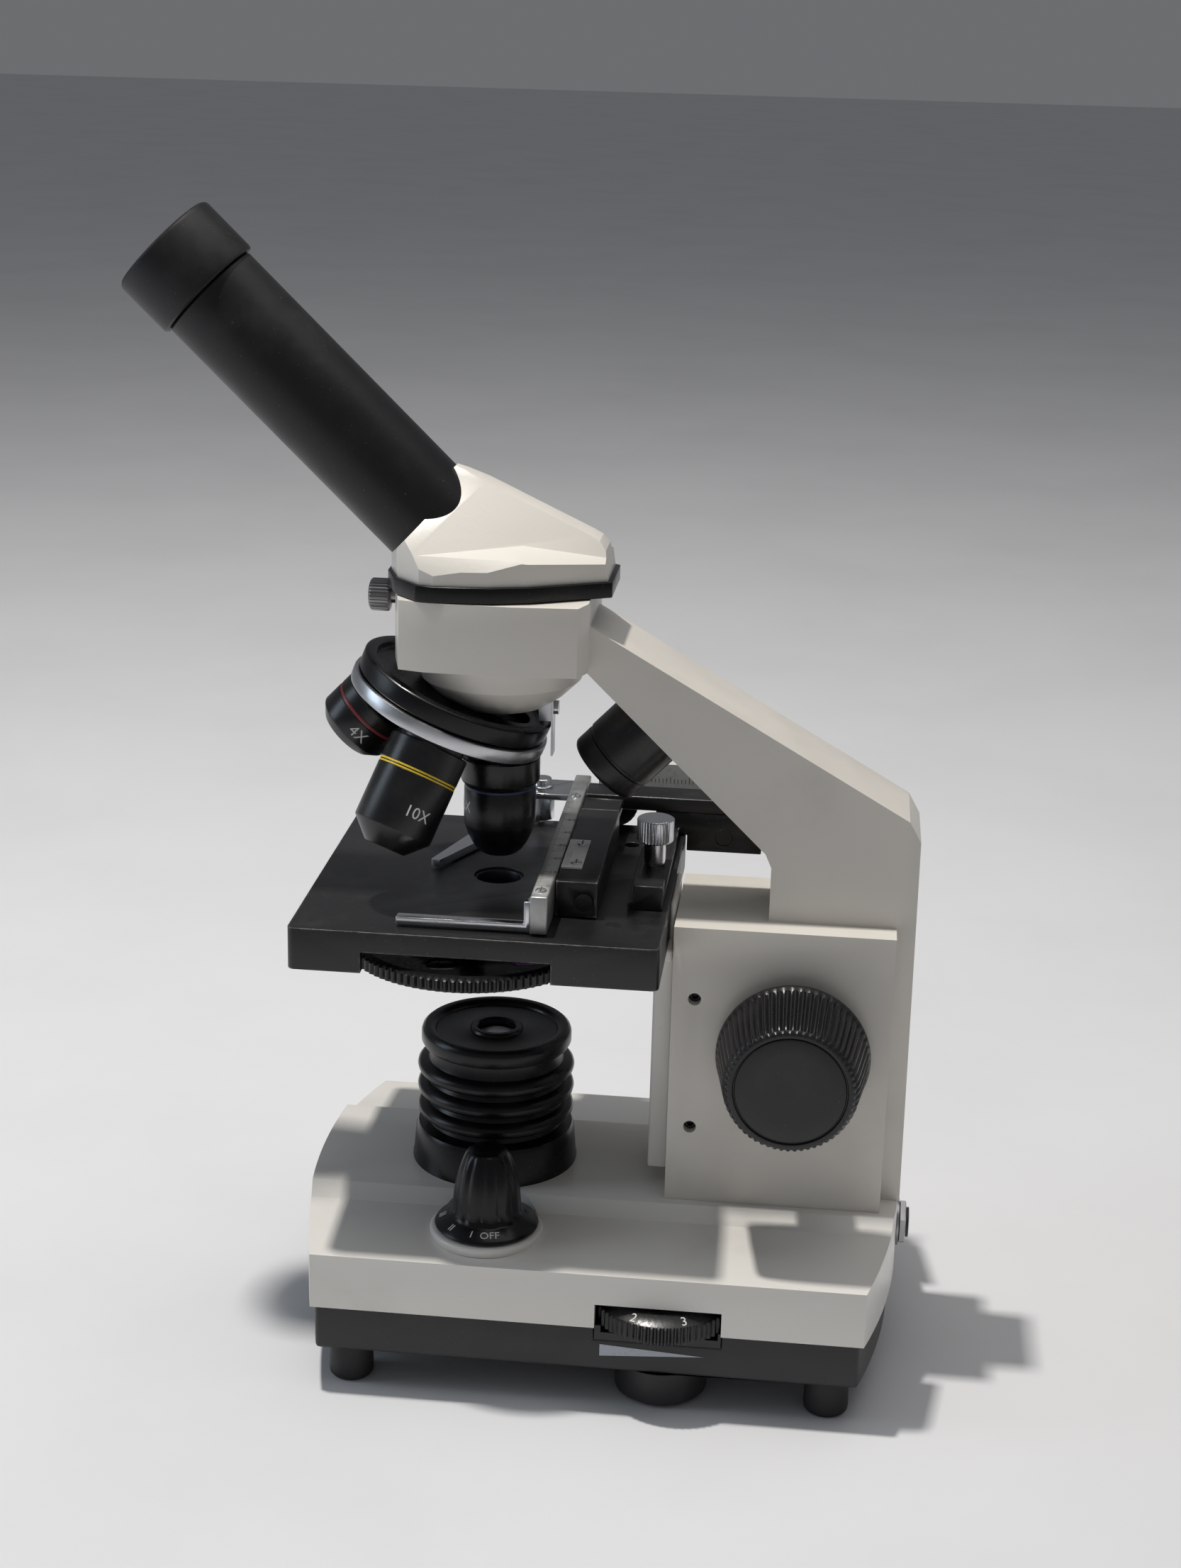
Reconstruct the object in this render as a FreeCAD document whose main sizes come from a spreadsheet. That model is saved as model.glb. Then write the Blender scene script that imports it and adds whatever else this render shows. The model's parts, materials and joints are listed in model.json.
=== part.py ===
import FreeCAD, Part
import math
import os

import Sketcher

# Student microscope with a slanted monocular head, built as one parametric document.
#
# Frame: +Z up, +Y towards the arm, +X to the user's right. Lengths in millimetres.
# Every piece is drawn about the optical axis with the bench at Z = 0, and the datum cell
# then moves the whole model so that the origin is the middle of its footprint.

DOC = FreeCAD.newDocument("Microscope")
SHEET = DOC.addObject("Spreadsheet::Sheet", "Dims")

DIMENSIONS = {
    # datum
    "datum_y": -8.05,
    # base
    "base_half": 51.3,
    "base_front": -44.5,
    "base_rear": 104.0,
    "front_bow": 205.7,
    "rear_bow": 177.0,
    "shell_low": 22.0,
    "shelf_edge": 36.0,
    "shelf_foot": 38.6,
    "plateau": 41.8,
    "plateau_half": 22.3,
    "shell_wall": 3.0,
    "tray_inset": 1.4,
    "tray_low": 10.0,
    "tray_wall": 2.5,
    "foot_radius": 5.5,
    "foot_x": 42.6,
    "foot_front": -29.4,
    "foot_rear": 88.2,
    # dimmer and selector
    "dimmer_x": 38.7,
    "dimmer_y": 47.3,
    "dimmer_radius": 17.3,
    "dimmer_low": 22.6,
    "dimmer_thick": 4.6,
    "window_front": 31.6,
    "window_rear": 62.2,
    "window_top": 28.3,
    "boss_radius": 11.4,
    "boss_x": 38.2,
    "selector_x": 34.0,
    "selector_y": 2.8,
    "selector_radius": 12.8,
    # lower lamp
    "lamp_base_radius": 21.0,
    "lamp_fin_radius": 19.8,
    "lamp_neck_radius": 16.6,
    "lamp_cap_radius": 19.1,
    "lamp_height": 36.0,
    "lamp_bore": 12.0,
    # arm
    "arm_half": 12.0,
    "column_front": 68.0,
    "column_rear": 104.0,
    "block_half": 19.6,
    "block_front": 45.5,
    "block_rear": 99.0,
    "block_top": 114.3,
    "head_block_low": 175.5,
    "head_block_top": 192.3,
    # focus drive
    "pinion_y": 75.7,
    "pinion_z": 84.2,
    "pinion_radius": 5.5,
    "shaft_radius": 3.0,
    "knob_inner": 23.6,
    "knob_outer": 44.7,
    "knob_radius": 18.8,
    # stage
    "stage_half": 45.0,
    "stage_front": -44.1,
    "stage_rear": 43.9,
    "stage_low": 107.5,
    "stage_top": 117.9,
    "stage_skin": 4.4,
    "stage_rim": 3.0,
    "stage_hole": 6.2,
    "bracket_half": 12.0,
    "bracket_front": 40.4,
    "bracket_rear": 45.2,
    "bracket_low": 46.4,
    "wheel_x": 19.5,
    "wheel_y": -4.0,
    "wheel_radius": 30.0,
    "wheel_low": 105.6,
    "wheel_thick": 3.6,
    "web_low": 107.3,
    "web_thick": 1.5,
    "filter_radius": 4.0,
    # slide holder
    "bar_near": 41.0,
    "bar_far": -56.0,
    "bar_front": 12.9,
    "bar_rear": 17.1,
    "bar_low": 118.3,
    "bar_top": 127.7,
    "carriage_near": 27.2,
    "carriage_far": -29.0,
    "carriage_front": 17.4,
    "carriage_rear": 27.3,
    "carriage_top": 127.0,
    "rail_near": -38.0,
    "rail_far": -48.0,
    "rail_low": 124.4,
    "rail_top": 128.2,
    "rail_end": 80.0,
    "clamp_x": -8.0,
    "clamp_y": 38.3,
    "holder_knob_radius": 6.3,
    "holder_knob_near": -49.0,
    "holder_knob_far": -56.0,
    "x_drive_y": 24.2,
    "x_drive_z": 122.0,
    "y_drive_y": 54.0,
    "y_drive_z": 117.6,
    "finger_pivot_x": -46.0,
    "finger_pivot_y": 5.0,
    # nosepiece, measured from the centre of the turret ring along its tilted axis
    "turret_y": -13.49,
    "turret_z": 159.12,
    "turret_tilt": 22.0,
    "turret_radius": 25.4,
    "ring_height": 3.5,
    "apex": 36.0,
    "objective_radius": 9.8,
    "thread_radius": 7.5,
    # head and eyepiece tube
    "band_low": 192.5,
    "band_top": 196.3,
    "tube_y": -18.2,
    "tube_z": 208.85,
    "tube_tilt": 46.0,
    "tube_radius": 12.9,
    "tube_bore": 11.62,
    "tube_length": 73.0,
    "eyepiece_radius": 14.2,
    "eyepiece_length": 15.4,
}

for row, (alias, number) in enumerate(DIMENSIONS.items(), start=1):
    SHEET.set(f"A{row}", alias)
    SHEET.set(f"B{row}", str(number))
    SHEET.setAlias(f"B{row}", alias)
DOC.recompute()

RUN_FIT = 0.05
TOUCH_GAP = 0.3
CUT_OVERRUN = 5.0


class Size:
    """A number together with the sheet expression that drives it."""

    def __init__(self, value, text):
        self.value = value
        self.text = text

    @staticmethod
    def of(other):
        return other if isinstance(other, Size) else Size(float(other), repr(float(other)))

    def combine(self, other, sign, result):
        return Size(result, f"({self.text} {sign} {Size.of(other).text})")

    def __add__(self, other):
        return self.combine(other, "+", self.value + Size.of(other).value)

    def __sub__(self, other):
        return self.combine(other, "-", self.value - Size.of(other).value)

    def __mul__(self, other):
        return self.combine(other, "*", self.value * Size.of(other).value)

    def __truediv__(self, other):
        return self.combine(other, "/", self.value / Size.of(other).value)

    def __neg__(self):
        return Size(-self.value, f"(0 - {self.text})")

    def __radd__(self, other):
        return Size.of(other) + self

    def __rsub__(self, other):
        return Size.of(other) - self

    def __rmul__(self, other):
        return Size.of(other) * self


class Cells:
    """Gives each cell of the sheet as a Size."""

    def __getattr__(self, alias):
        return Size(float(SHEET.get(alias)), f"Dims.{alias}")


D = Cells()
SUBPARTS = []


def bind(thing, path, size):
    """Drive one property of a document object from the sheet."""
    thing.setExpression(path, Size.of(size).text)


def set_place(thing, at, rotation=None):
    """Place an object, with its position bound to the sheet."""
    at = [Size.of(value) for value in at]
    base = FreeCAD.Vector(*[value.value for value in at])
    thing.Placement = FreeCAD.Placement(base, rotation or FreeCAD.Rotation())
    for axis, value in zip("xyz", at):
        bind(thing, f"Placement.Base.{axis}", value)


def ship(label, thing, at=(0, 0, 0), rotation=None):
    """Name a finished sub-part, move it by the datum and list it for export."""
    x, y, z = at
    thing.Label = label
    set_place(thing, (x, y + D.datum_y, z), rotation)
    SUBPARTS.append(thing)
    return thing


def box(x, y, z):
    """A block between two X, two Y and two Z values."""
    low = [Size.of(pair[0]) for pair in (x, y, z)]
    high = [Size.of(pair[1]) for pair in (x, y, z)]
    block = DOC.addObject("Part::Box", "Block")
    for prop, start, end in zip(("Length", "Width", "Height"), low, high):
        bind(block, prop, end - start)
    set_place(block, low)
    return block


AXIS_TURNS = {
    "Z": FreeCAD.Rotation(),
    "X": FreeCAD.Rotation(FreeCAD.Vector(0, 1, 0), 90),
    "Y": FreeCAD.Rotation(FreeCAD.Vector(1, 0, 0), -90),
}


def rod(at, radius, length, axis="Z", rotation=None):
    """A cylinder that starts at a point and runs along an axis."""
    cylinder = DOC.addObject("Part::Cylinder", "Rod")
    bind(cylinder, "Radius", radius)
    bind(cylinder, "Height", length)
    set_place(cylinder, at, rotation or AXIS_TURNS[axis])
    return cylinder


def join(*things):
    """One solid from overlapping or touching pieces."""
    union = DOC.addObject("Part::MultiFuse", "Union")
    union.Shapes = list(things)
    union.Refine = True
    return union


def cluster(*things):
    """Separate solids that share one node."""
    group = DOC.addObject("Part::Compound", "Cluster")
    group.Links = list(things)
    return group


def carve(base, *tools):
    """A piece with tools taken away."""
    cut = DOC.addObject("Part::Cut", "Carved")
    cut.Base = base
    cut.Tool = tools[0] if len(tools) == 1 else join(*tools)
    cut.Refine = True
    return cut


def overlap(first, second):
    """What two pieces share."""
    common = DOC.addObject("Part::Common", "Shared")
    common.Base = first
    common.Tool = second
    return common


def round_edges(thing, radius, wanted):
    """Round the edges whose middle point passes a test."""
    DOC.recompute()
    fillet = DOC.addObject("Part::Fillet", "Rounded")
    fillet.Base = thing
    edges = []
    for number, edge in enumerate(thing.Shape.Edges, start=1):
        if wanted(edge.CenterOfMass, edge):
            edges.append((number, radius, radius))
    fillet.Edges = edges
    return fillet


def draw_outline(sketch, points):
    """A closed outline whose every corner is bound to the sheet."""
    points = [(Size.of(across), Size.of(along)) for across, along in points]
    count = len(points)
    for index, (across, along) in enumerate(points):
        after = points[(index + 1) % count]
        start = FreeCAD.Vector(across.value, along.value, 0)
        end = FreeCAD.Vector(after[0].value, after[1].value, 0)
        sketch.addGeometry(Part.LineSegment(start, end), False)
    for index in range(count):
        sketch.addConstraint(Sketcher.Constraint("Coincident", index, 2, (index + 1) % count, 1))
    for index, corner in enumerate(points):
        for kind, axis, value in (("DistanceX", -2, corner[0]), ("DistanceY", -1, corner[1])):
            if abs(value.value) < 1e-9:
                sketch.addConstraint(Sketcher.Constraint("PointOnObject", index, 1, axis))
                continue
            ends = (-1, 1, index, 1) if value.value > 0 else (index, 1, -1, 1)
            rule = sketch.addConstraint(Sketcher.Constraint(kind, *ends, abs(value.value)))
            bind(sketch, f"Constraints[{rule}]", value if value.value > 0 else -value)


def new_sketch(body, plane, name):
    """A sketch on one of a body's own origin planes."""
    sketch = body.newObject("Sketcher::SketchObject", name)
    origin = [item for item in body.Origin.OriginFeatures if item.Role == plane]
    sketch.AttachmentSupport = [(origin[0], "")]
    sketch.MapMode = "FlatFace"
    return sketch


def padded(plane, points, length):
    """A body padded from an outline: XY pads upwards, YZ pads towards +X."""
    body = DOC.addObject("PartDesign::Body", "Body")
    sketch = new_sketch(body, plane, "Outline")
    draw_outline(sketch, points)
    pad = body.newObject("PartDesign::Pad", "Pad")
    pad.Profile = sketch
    bind(pad, "Length", length)
    body.Tip = pad
    return body


def turned(points):
    """A body turned about its own Z axis from (radius, height) corners."""
    body = DOC.addObject("PartDesign::Body", "Body")
    sketch = new_sketch(body, "XZ_Plane", "Section")
    draw_outline(sketch, points)
    spin = body.newObject("PartDesign::Revolution", "Turning")
    spin.Profile = sketch
    spin.ReferenceAxis = (sketch, ["V_Axis"])
    spin.Angle = 360.0
    body.Tip = spin
    return body


def mirrored(points):
    """A full outline from its right half, listed from front to rear."""
    left = [(-Size.of(across), along) for across, along in reversed(points)]
    return list(points) + left


# ---------------------------------------------------------------- base


def bowed_block(inset, low, high):
    """The base's plan, with bowed ends, between two heights."""
    side = D.base_half - inset
    ends = (D.base_front + inset, D.base_rear - inset)
    block = box((-side, side), ends, (low, high))
    front = rod((0, D.base_front + D.front_bow, low), D.front_bow - inset, high - low)
    rear = rod((0, D.base_rear - D.rear_bow, low), D.rear_bow - inset, high - low)
    return overlap(overlap(block, front), rear)


def dimmer_window(low, high):
    """The side cut-out that the thumbwheel stands out of."""
    return box((D.base_half - 8, D.base_half + 1), (D.window_front, D.window_rear), (low, high))


def side_shelf(side):
    """The cutter that leaves one sloping shelf beside the plateau."""
    over = D.plateau + CUT_OVERRUN
    section = [
        (D.plateau_half, over),
        (D.plateau_half, D.plateau),
        (D.plateau_half + 3.7, D.shelf_foot),
        (D.base_half - 0.8, D.shelf_edge + 0.4),
        (D.base_half + 1, D.shelf_edge),
        (D.base_half + 1, over),
    ]
    outline = [(across * side, up) for across, up in section]
    body = padded("XZ_Plane", outline, D.base_rear - D.base_front + 2 * CUT_OVERRUN)
    set_place(body, (0, D.base_rear + CUT_OVERRUN, 0))
    return body


JACK_HEIGHT = 30.0
JACK_BARREL = 4.0
SWITCH_BUSH = 3.6
WIRE_HOLE = 8.0
COLLAR_RADIUS = 14.0
COLLAR_THICK = 2.6
collar_low = D.shelf_edge + 0.2
shell_outer = carve(bowed_block(0, D.shell_low, D.plateau), side_shelf(1), side_shelf(-1))
shell_hollow = bowed_block(D.shell_wall, D.shell_low - 1, D.shelf_edge - D.shell_wall)
ridge_half = D.plateau_half - D.shell_wall
ridge_hollow = box(
    (-ridge_half, ridge_half),
    (D.base_front + 8, D.base_rear - 8),
    (D.shelf_edge - 4, D.plateau - D.shell_wall),
)
shell = carve(
    shell_outer,
    shell_hollow,
    ridge_hollow,
    dimmer_window(D.shell_low - 1, D.window_top),
    rod((D.selector_x, D.selector_y, 30), SWITCH_BUSH, 15),
    rod((D.selector_x, D.selector_y, collar_low), COLLAR_RADIUS, 10),
    rod((0, 0, 35), WIRE_HOLE, 10),
    rod((0, D.base_rear - 13, JACK_HEIGHT), JACK_BARREL + RUN_FIT, 17, "Y"),
)
ship("base_shell", shell)

DOOR_HALF = 22.0
DOOR_X = -19.0
DOOR_FRONT = -24.0
DOOR_REAR = 34.0
DOOR_THICK = 2.3
tray_top = D.shell_low
tray_floor = D.tray_low + D.tray_wall
BOSS_LOW = 0.8
boss = rod((D.boss_x, D.dimmer_y, BOSS_LOW), D.boss_radius, tray_floor - BOSS_LOW)
tray = carve(
    join(bowed_block(D.tray_inset, D.tray_low, tray_top), boss),
    bowed_block(D.tray_inset + D.tray_wall, tray_floor, tray_top + 1),
    box((D.base_half - 8, D.base_half), (D.window_front, D.window_rear), (18.3, 23)),
    box(
        (DOOR_X - DOOR_HALF, DOOR_X + DOOR_HALF),
        (DOOR_FRONT, DOOR_REAR),
        (D.tray_low - 1, tray_floor + 1),
    ),
)
ship("base_tray", tray)

feet = [
    rod((side * D.foot_x, along, 0), D.foot_radius, D.tray_low)
    for side in (-1, 1)
    for along in (D.foot_front, D.foot_rear)
]
ship("rubber_feet", cluster(*feet))

DOOR_GAP = 0.25
door = box(
    (DOOR_X - DOOR_HALF + DOOR_GAP, DOOR_X + DOOR_HALF - DOOR_GAP),
    (DOOR_FRONT + DOOR_GAP, DOOR_REAR - DOOR_GAP),
    (D.tray_low, D.tray_low + DOOR_THICK),
)
ship("battery_door", cluster(door))

CELL_RADIUS = 7.2
CELL_LENGTH = 50.0
CELL_XS = (-34.0, -19.0, -4.0)
CELL_FRONT = -20.0
CELL_HEIGHT = 21.5
cells = [
    rod((across, CELL_FRONT, CELL_HEIGHT), CELL_RADIUS, CELL_LENGTH, "Y") for across in CELL_XS
]
ship("battery_cells", cluster(*cells))

cradle_block = box(
    (CELL_XS[0] - 8, CELL_XS[2] + 8),
    (CELL_FRONT - 2, CELL_FRONT + CELL_LENGTH + 2),
    (D.tray_low + DOOR_THICK + 0.5, CELL_HEIGHT),
)
nests = [
    rod((across, CELL_FRONT - 0.2, CELL_HEIGHT), CELL_RADIUS + 0.15, CELL_LENGTH + 0.4, "Y")
    for across in CELL_XS
]
ship("battery_cradle", carve(cradle_block, *nests))

POT_RADIUS = 8.0
POT_PIN = 3.0
pot_body = rod((D.dimmer_x, D.dimmer_y, 16), POT_RADIUS, D.dimmer_low - TOUCH_GAP - 16)
pot_pin = rod((D.dimmer_x, D.dimmer_y, 16), POT_PIN, D.dimmer_low + D.dimmer_thick - 15.4)
ship("dimmer_pot", join(pot_body, pot_pin))

board = box((12, 46), (-8, 62), (14.4, 16))
ship("control_board", cluster(board))

wheel_profile = [
    (POT_PIN + RUN_FIT, 0),
    (D.dimmer_radius - 0.6, 0),
    (D.dimmer_radius, 0.6),
    (D.dimmer_radius, D.dimmer_thick - 0.6),
    (D.dimmer_radius - 0.6, D.dimmer_thick),
    (POT_PIN + RUN_FIT, D.dimmer_thick),
]
ship("dimmer_wheel", turned(wheel_profile), (D.dimmer_x, D.dimmer_y, D.dimmer_low))

jack_barrel = rod((0, D.base_rear - 12, JACK_HEIGHT), JACK_BARREL, 15.2, "Y")
jack_bore = rod((0, D.base_rear - 8, JACK_HEIGHT), 2.8, 20, "Y")
jack_contact = rod((0, D.base_rear - 10, JACK_HEIGHT), 1.0, 12, "Y")
jack_can = box((-5.5, 5.5), (D.base_rear - 14, D.base_rear - 5), (24.5, 33))
NUT_RADIUS = 6.0
jack_nut = rod((0, D.base_rear + 0.05, JACK_HEIGHT), NUT_RADIUS, 2.4, "Y")
jack_body = carve(join(jack_barrel, jack_can, jack_nut), jack_bore)
ship("power_inlet", join(jack_body, jack_contact))

collar = carve(
    rod((D.selector_x, D.selector_y, collar_low), COLLAR_RADIUS - 0.02, COLLAR_THICK),
    rod((D.selector_x, D.selector_y, 30), SWITCH_BUSH, 15),
)
ship("selector_collar", collar)

SWITCH_PIN = 2.5
switch_can = rod((D.selector_x, D.selector_y, 22), 8.5, 9.5)
switch_bore = rod((D.selector_x, D.selector_y, 25), SWITCH_PIN + RUN_FIT, 10)
ship("selector_switch", carve(switch_can, switch_bore))

knob_low = collar_low + COLLAR_THICK + TOUCH_GAP
selector_profile = [
    (0, -10),
    (SWITCH_PIN, -10),
    (SWITCH_PIN, 0),
    (D.selector_radius, 0),
    (D.selector_radius, 0.9),
    (9.2, 3.2),
    (8.4, 4.2),
    (8.0, 9.5),
    (6.8, 15.0),
    (4.8, 20.2),
    (0, 20.6),
]
ship("selector_knob", turned(selector_profile), (D.selector_x, D.selector_y, knob_low))

# ---------------------------------------------------------------- lower lamp

FIN_PITCH = 5.4
FIN_THICK = 3.4
FIN_FIRST = 12.5
CAP_THICK = 5.0
neck = D.lamp_neck_radius
lamp_profile = [
    (D.lamp_bore, 0),
    (D.lamp_base_radius, 0),
    (D.lamp_base_radius - 0.9, 9.6),
    (neck, 10.6),
]
for count in range(3):
    fin_low = FIN_FIRST + count * FIN_PITCH
    lamp_profile += [
        (neck, fin_low),
        (D.lamp_fin_radius, fin_low + 0.9),
        (D.lamp_fin_radius, fin_low + FIN_THICK - 0.9),
        (neck, fin_low + FIN_THICK),
    ]
lamp_profile += [(neck, D.lamp_height - CAP_THICK), (D.lamp_bore, D.lamp_height - CAP_THICK)]
ship("lamp_housing", turned(lamp_profile), (0, 0, D.plateau))

CAP_RECESS = 15.3
CAP_RING = 9.4
LENS_RADIUS = 5.4
cap_profile = [
    (LENS_RADIUS + 0.05, 0),
    (D.lamp_cap_radius - 1.2, 0),
    (D.lamp_cap_radius, 1.2),
    (D.lamp_cap_radius, CAP_THICK - 1.4),
    (D.lamp_cap_radius - 1.4, CAP_THICK),
    (CAP_RECESS, CAP_THICK),
    (CAP_RECESS - 0.3, CAP_THICK - 1.5),
    (CAP_RING, CAP_THICK - 1.5),
    (CAP_RING - 0.4, CAP_THICK - 0.3),
    (LENS_RADIUS + 0.05, CAP_THICK - 0.3),
]
ship("lamp_cap", turned(cap_profile), (0, 0, D.plateau + D.lamp_height - CAP_THICK))

lens_profile = [(0, 0), (LENS_RADIUS, 0), (LENS_RADIUS, 1.6), (3.4, 2.4), (0, 2.8)]
ship("lamp_lens", turned(lens_profile), (0, 0, D.plateau + D.lamp_height - CAP_THICK + 0.3))

led_profile = [(0, 0), (D.lamp_bore - 0.3, 0), (D.lamp_bore - 0.3, 1.6), (2.6, 1.6), (2.6, 4.5), (0, 6.6)]
ship("lamp_led", turned(led_profile), (0, 0, D.plateau + 18))

# ---------------------------------------------------------------- arm

ARM_TOP_FRONT = 20.0
arm_outline = [
    (D.column_front, D.plateau),
    (D.column_rear, D.plateau),
    (D.column_rear - 0.5, 136.5),
    (D.column_rear - 3.4, 141.6),
    (ARM_TOP_FRONT, 187.2),
    (ARM_TOP_FRONT, D.head_block_low),
    (ARM_TOP_FRONT + 2, 174.4),
    (D.column_front - 1.5, 131.4),
    (D.column_front, 128.0),
]
arm_web = padded("YZ_Plane", arm_outline, D.arm_half * 2)
set_place(arm_web, (-D.arm_half, 0, 0))
focus_block = box(
    (-D.block_half, D.block_half), (D.block_front, D.block_rear), (D.plateau, D.block_top)
)
HEAD_HALF = [(10.0, -24.5), (21.2, -21.8), (22.9, -15.4), (23.3, 5.1), (21.7, 20.6), (16.3, 22.5)]
head_block = padded("XY_Plane", mirrored(HEAD_HALF), D.head_block_top - D.head_block_low)
set_place(head_block, (0, 0, D.head_block_low))
bowl_profile = [
    (0, -14.7),
    (6, -14.2),
    (11, -12.6),
    (15.5, -9.6),
    (19.6, -5.6),
    (20.9, 0),
    (20.9, 1),
    (0, 1),
]
bowl = turned(bowl_profile)
set_place(bowl, (0, 0, D.head_block_low))

TONGUE_HALF = 6.0
TONGUE_REAR = 66.8
TONGUE_LOW = 60.0
TONGUE_TOP = 105.0
CHANNEL_GAP = 0.35
PINION_HALF = 5.0
channel = box(
    (-TONGUE_HALF - CHANNEL_GAP, TONGUE_HALF + CHANNEL_GAP),
    (D.block_front - 1, 71.0),
    (TONGUE_LOW - 5, TONGUE_TOP + 6.5),
)
gear_room = rod((-PINION_HALF - 1, D.pinion_y, D.pinion_z), D.pinion_radius + 1.3, 2 * PINION_HALF + 2, "X")
shaft_bore = rod((-25, D.pinion_y, D.pinion_z), D.shaft_radius + RUN_FIT, 50, "X")
SCREW_Y = 51.1
SCREW_ZS = (61.8, 95.8)
SET_SCREW = 1.6
screw_holes = [rod((D.block_half - 9, SCREW_Y, height), SET_SCREW, 12, "X") for height in SCREW_ZS]

turret_turn = FreeCAD.Rotation(FreeCAD.Vector(1, 0, 0), -DIMENSIONS["turret_tilt"])
tilt = math.radians(DIMENSIONS["turret_tilt"])


def along_turret(height):
    """A point on the turret's axis, at a height above the ring's lower face."""
    return (0, D.turret_y + height * math.sin(tilt), D.turret_z + height * math.cos(tilt))


SEAT = 7.0
seat_cut = rod(along_turret(SEAT - 30), 45, 30, rotation=turret_turn)
LIGHT_PATH = 7.0
SOCKET_RADIUS = 16.0
SOCKET_LOW = 183.0
LOCK_HEIGHT = 188.35
lock_hole = rod((0, -30, LOCK_HEIGHT), 2.05, 20, "Y")
arm = carve(
    join(arm_web, focus_block, head_block, bowl),
    channel,
    gear_room,
    shaft_bore,
    *screw_holes,
    seat_cut,
    rod((0, 0, 150), LIGHT_PATH, 50),
    rod((0, 0, SOCKET_LOW), SOCKET_RADIUS, 15),
    lock_hole,
)
ship("arm", arm)

set_screws = [rod((D.block_half - 7, SCREW_Y, height), SET_SCREW - 0.03, 5, "X") for height in SCREW_ZS]
ship("tension_screws", cluster(*set_screws))

# ---------------------------------------------------------------- upper lamp

UPPER_LAMP_TURN = FreeCAD.Rotation(FreeCAD.Vector(1, 0, 0), -44)
UPPER_LAMP_AT = (0, 25.4, 147.0)
upper_profile = [
    (8.0, 0),
    (9.6, 0),
    (9.6, 5.6),
    (9.9, 5.9),
    (9.9, 17.0),
    (0, 17.0),
    (0, 12.0),
    (8.0, 12.0),
]
ship("upper_lamp_shell", turned(upper_profile), UPPER_LAMP_AT, UPPER_LAMP_TURN)
upper_lens_profile = [(0, 0.8), (7.95, 0.8), (7.95, 3.0), (4.0, 3.8), (0, 4.2)]
ship("upper_lamp_lens", turned(upper_lens_profile), UPPER_LAMP_AT, UPPER_LAMP_TURN)
upper_led_profile = [(0, 6.0), (2.5, 8.0), (2.5, 10.3), (7.6, 10.3), (7.6, 11.9), (0, 11.9)]
ship("upper_lamp_led", turned(upper_led_profile), UPPER_LAMP_AT, UPPER_LAMP_TURN)

# ---------------------------------------------------------------- focus drive

TEETH = 11
TOOTH_HEIGHT = 0.5
TOOTH_WIDTH = 1.1
pinion_core = rod((-PINION_HALF, 0, 0), D.pinion_radius - TOOTH_HEIGHT, 2 * PINION_HALF, "X")
teeth = []
for index in range(TEETH):
    tooth = box(
        (-PINION_HALF, PINION_HALF),
        (D.pinion_radius - 1.5, D.pinion_radius + TOOTH_HEIGHT),
        (-TOOTH_WIDTH / 2, TOOTH_WIDTH / 2),
    )
    turn = FreeCAD.Rotation(FreeCAD.Vector(1, 0, 0), 180 + index * 360 / TEETH)
    corner = turn.multVec(FreeCAD.Vector(-PINION_HALF, DIMENSIONS["pinion_radius"] - 1.5, -TOOTH_WIDTH / 2))
    set_place(tooth, tuple(corner), turn)
    teeth.append(tooth)
shaft = rod((-D.knob_outer + 4, 0, 0), D.shaft_radius, 2 * D.knob_outer - 8, "X")
ship("focus_shaft", join(shaft, pinion_core, *teeth), (0, D.pinion_y, D.pinion_z))

HUB_RADIUS = 7.0
RIM = 1.9
knob_reach = D.knob_outer - D.knob_inner
knob_hub = D.knob_inner - D.block_half - 0.5
knob_profile = [
    (D.shaft_radius, -knob_hub),
    (HUB_RADIUS, -knob_hub),
    (HUB_RADIUS, 0),
    (D.knob_radius, 0),
    (D.knob_radius, RIM),
    (D.knob_radius - 0.7, RIM + 0.2),
    (D.knob_radius - 3.1, knob_reach - 1.2),
    (D.knob_radius - 4.0, knob_reach),
    (13.7, knob_reach),
    (13.7, knob_reach - 0.8),
    (0, knob_reach - 0.8),
    (0, knob_reach - 4),
    (D.shaft_radius, knob_reach - 4),
]
for side, name in ((1, "focus_knob_right"), (-1, "focus_knob_left")):
    turn = FreeCAD.Rotation(FreeCAD.Vector(0, 1, 0), 90 * side)
    ship(name, turned(knob_profile), (D.knob_inner * side, D.pinion_y, D.pinion_z), turn)

# ---------------------------------------------------------------- stage

stage_block = box(
    (-D.stage_half, D.stage_half), (D.stage_front, D.stage_rear), (D.stage_low, D.stage_top)
)
stage_block = round_edges(
    stage_block, 1.8, lambda middle, edge: abs(abs(middle.x) - 45) < 0.1 and abs(middle.z - 112.7) < 0.1
)
skin_low = D.stage_top - D.stage_skin
stage_hollow = box(
    (D.stage_rim - D.stage_half, D.stage_half - D.stage_rim),
    (D.stage_front + D.stage_rim, D.stage_rear - D.stage_rim),
    (D.stage_low - 1, skin_low),
)
NOTCH_FRONT = -26.5
NOTCH_REAR = 18.5
wheel_notch = box((D.stage_half - 6, D.stage_half + 2), (NOTCH_FRONT, NOTCH_REAR), (D.stage_low - 1, 112.7))
PIVOT_SCREW = 2.9
SPARE_HOLE = (-29.0, 30.7)
stage_plate = carve(
    stage_block,
    stage_hollow,
    wheel_notch,
    rod((0, 0, 100), D.stage_hole, 30),
    rod((SPARE_HOLE[0], SPARE_HOLE[1], 100), 2.0, 30),
    rod((D.clamp_x, D.clamp_y, 100), 2.1, 30),
)
ship("stage_plate", stage_plate)

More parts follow.
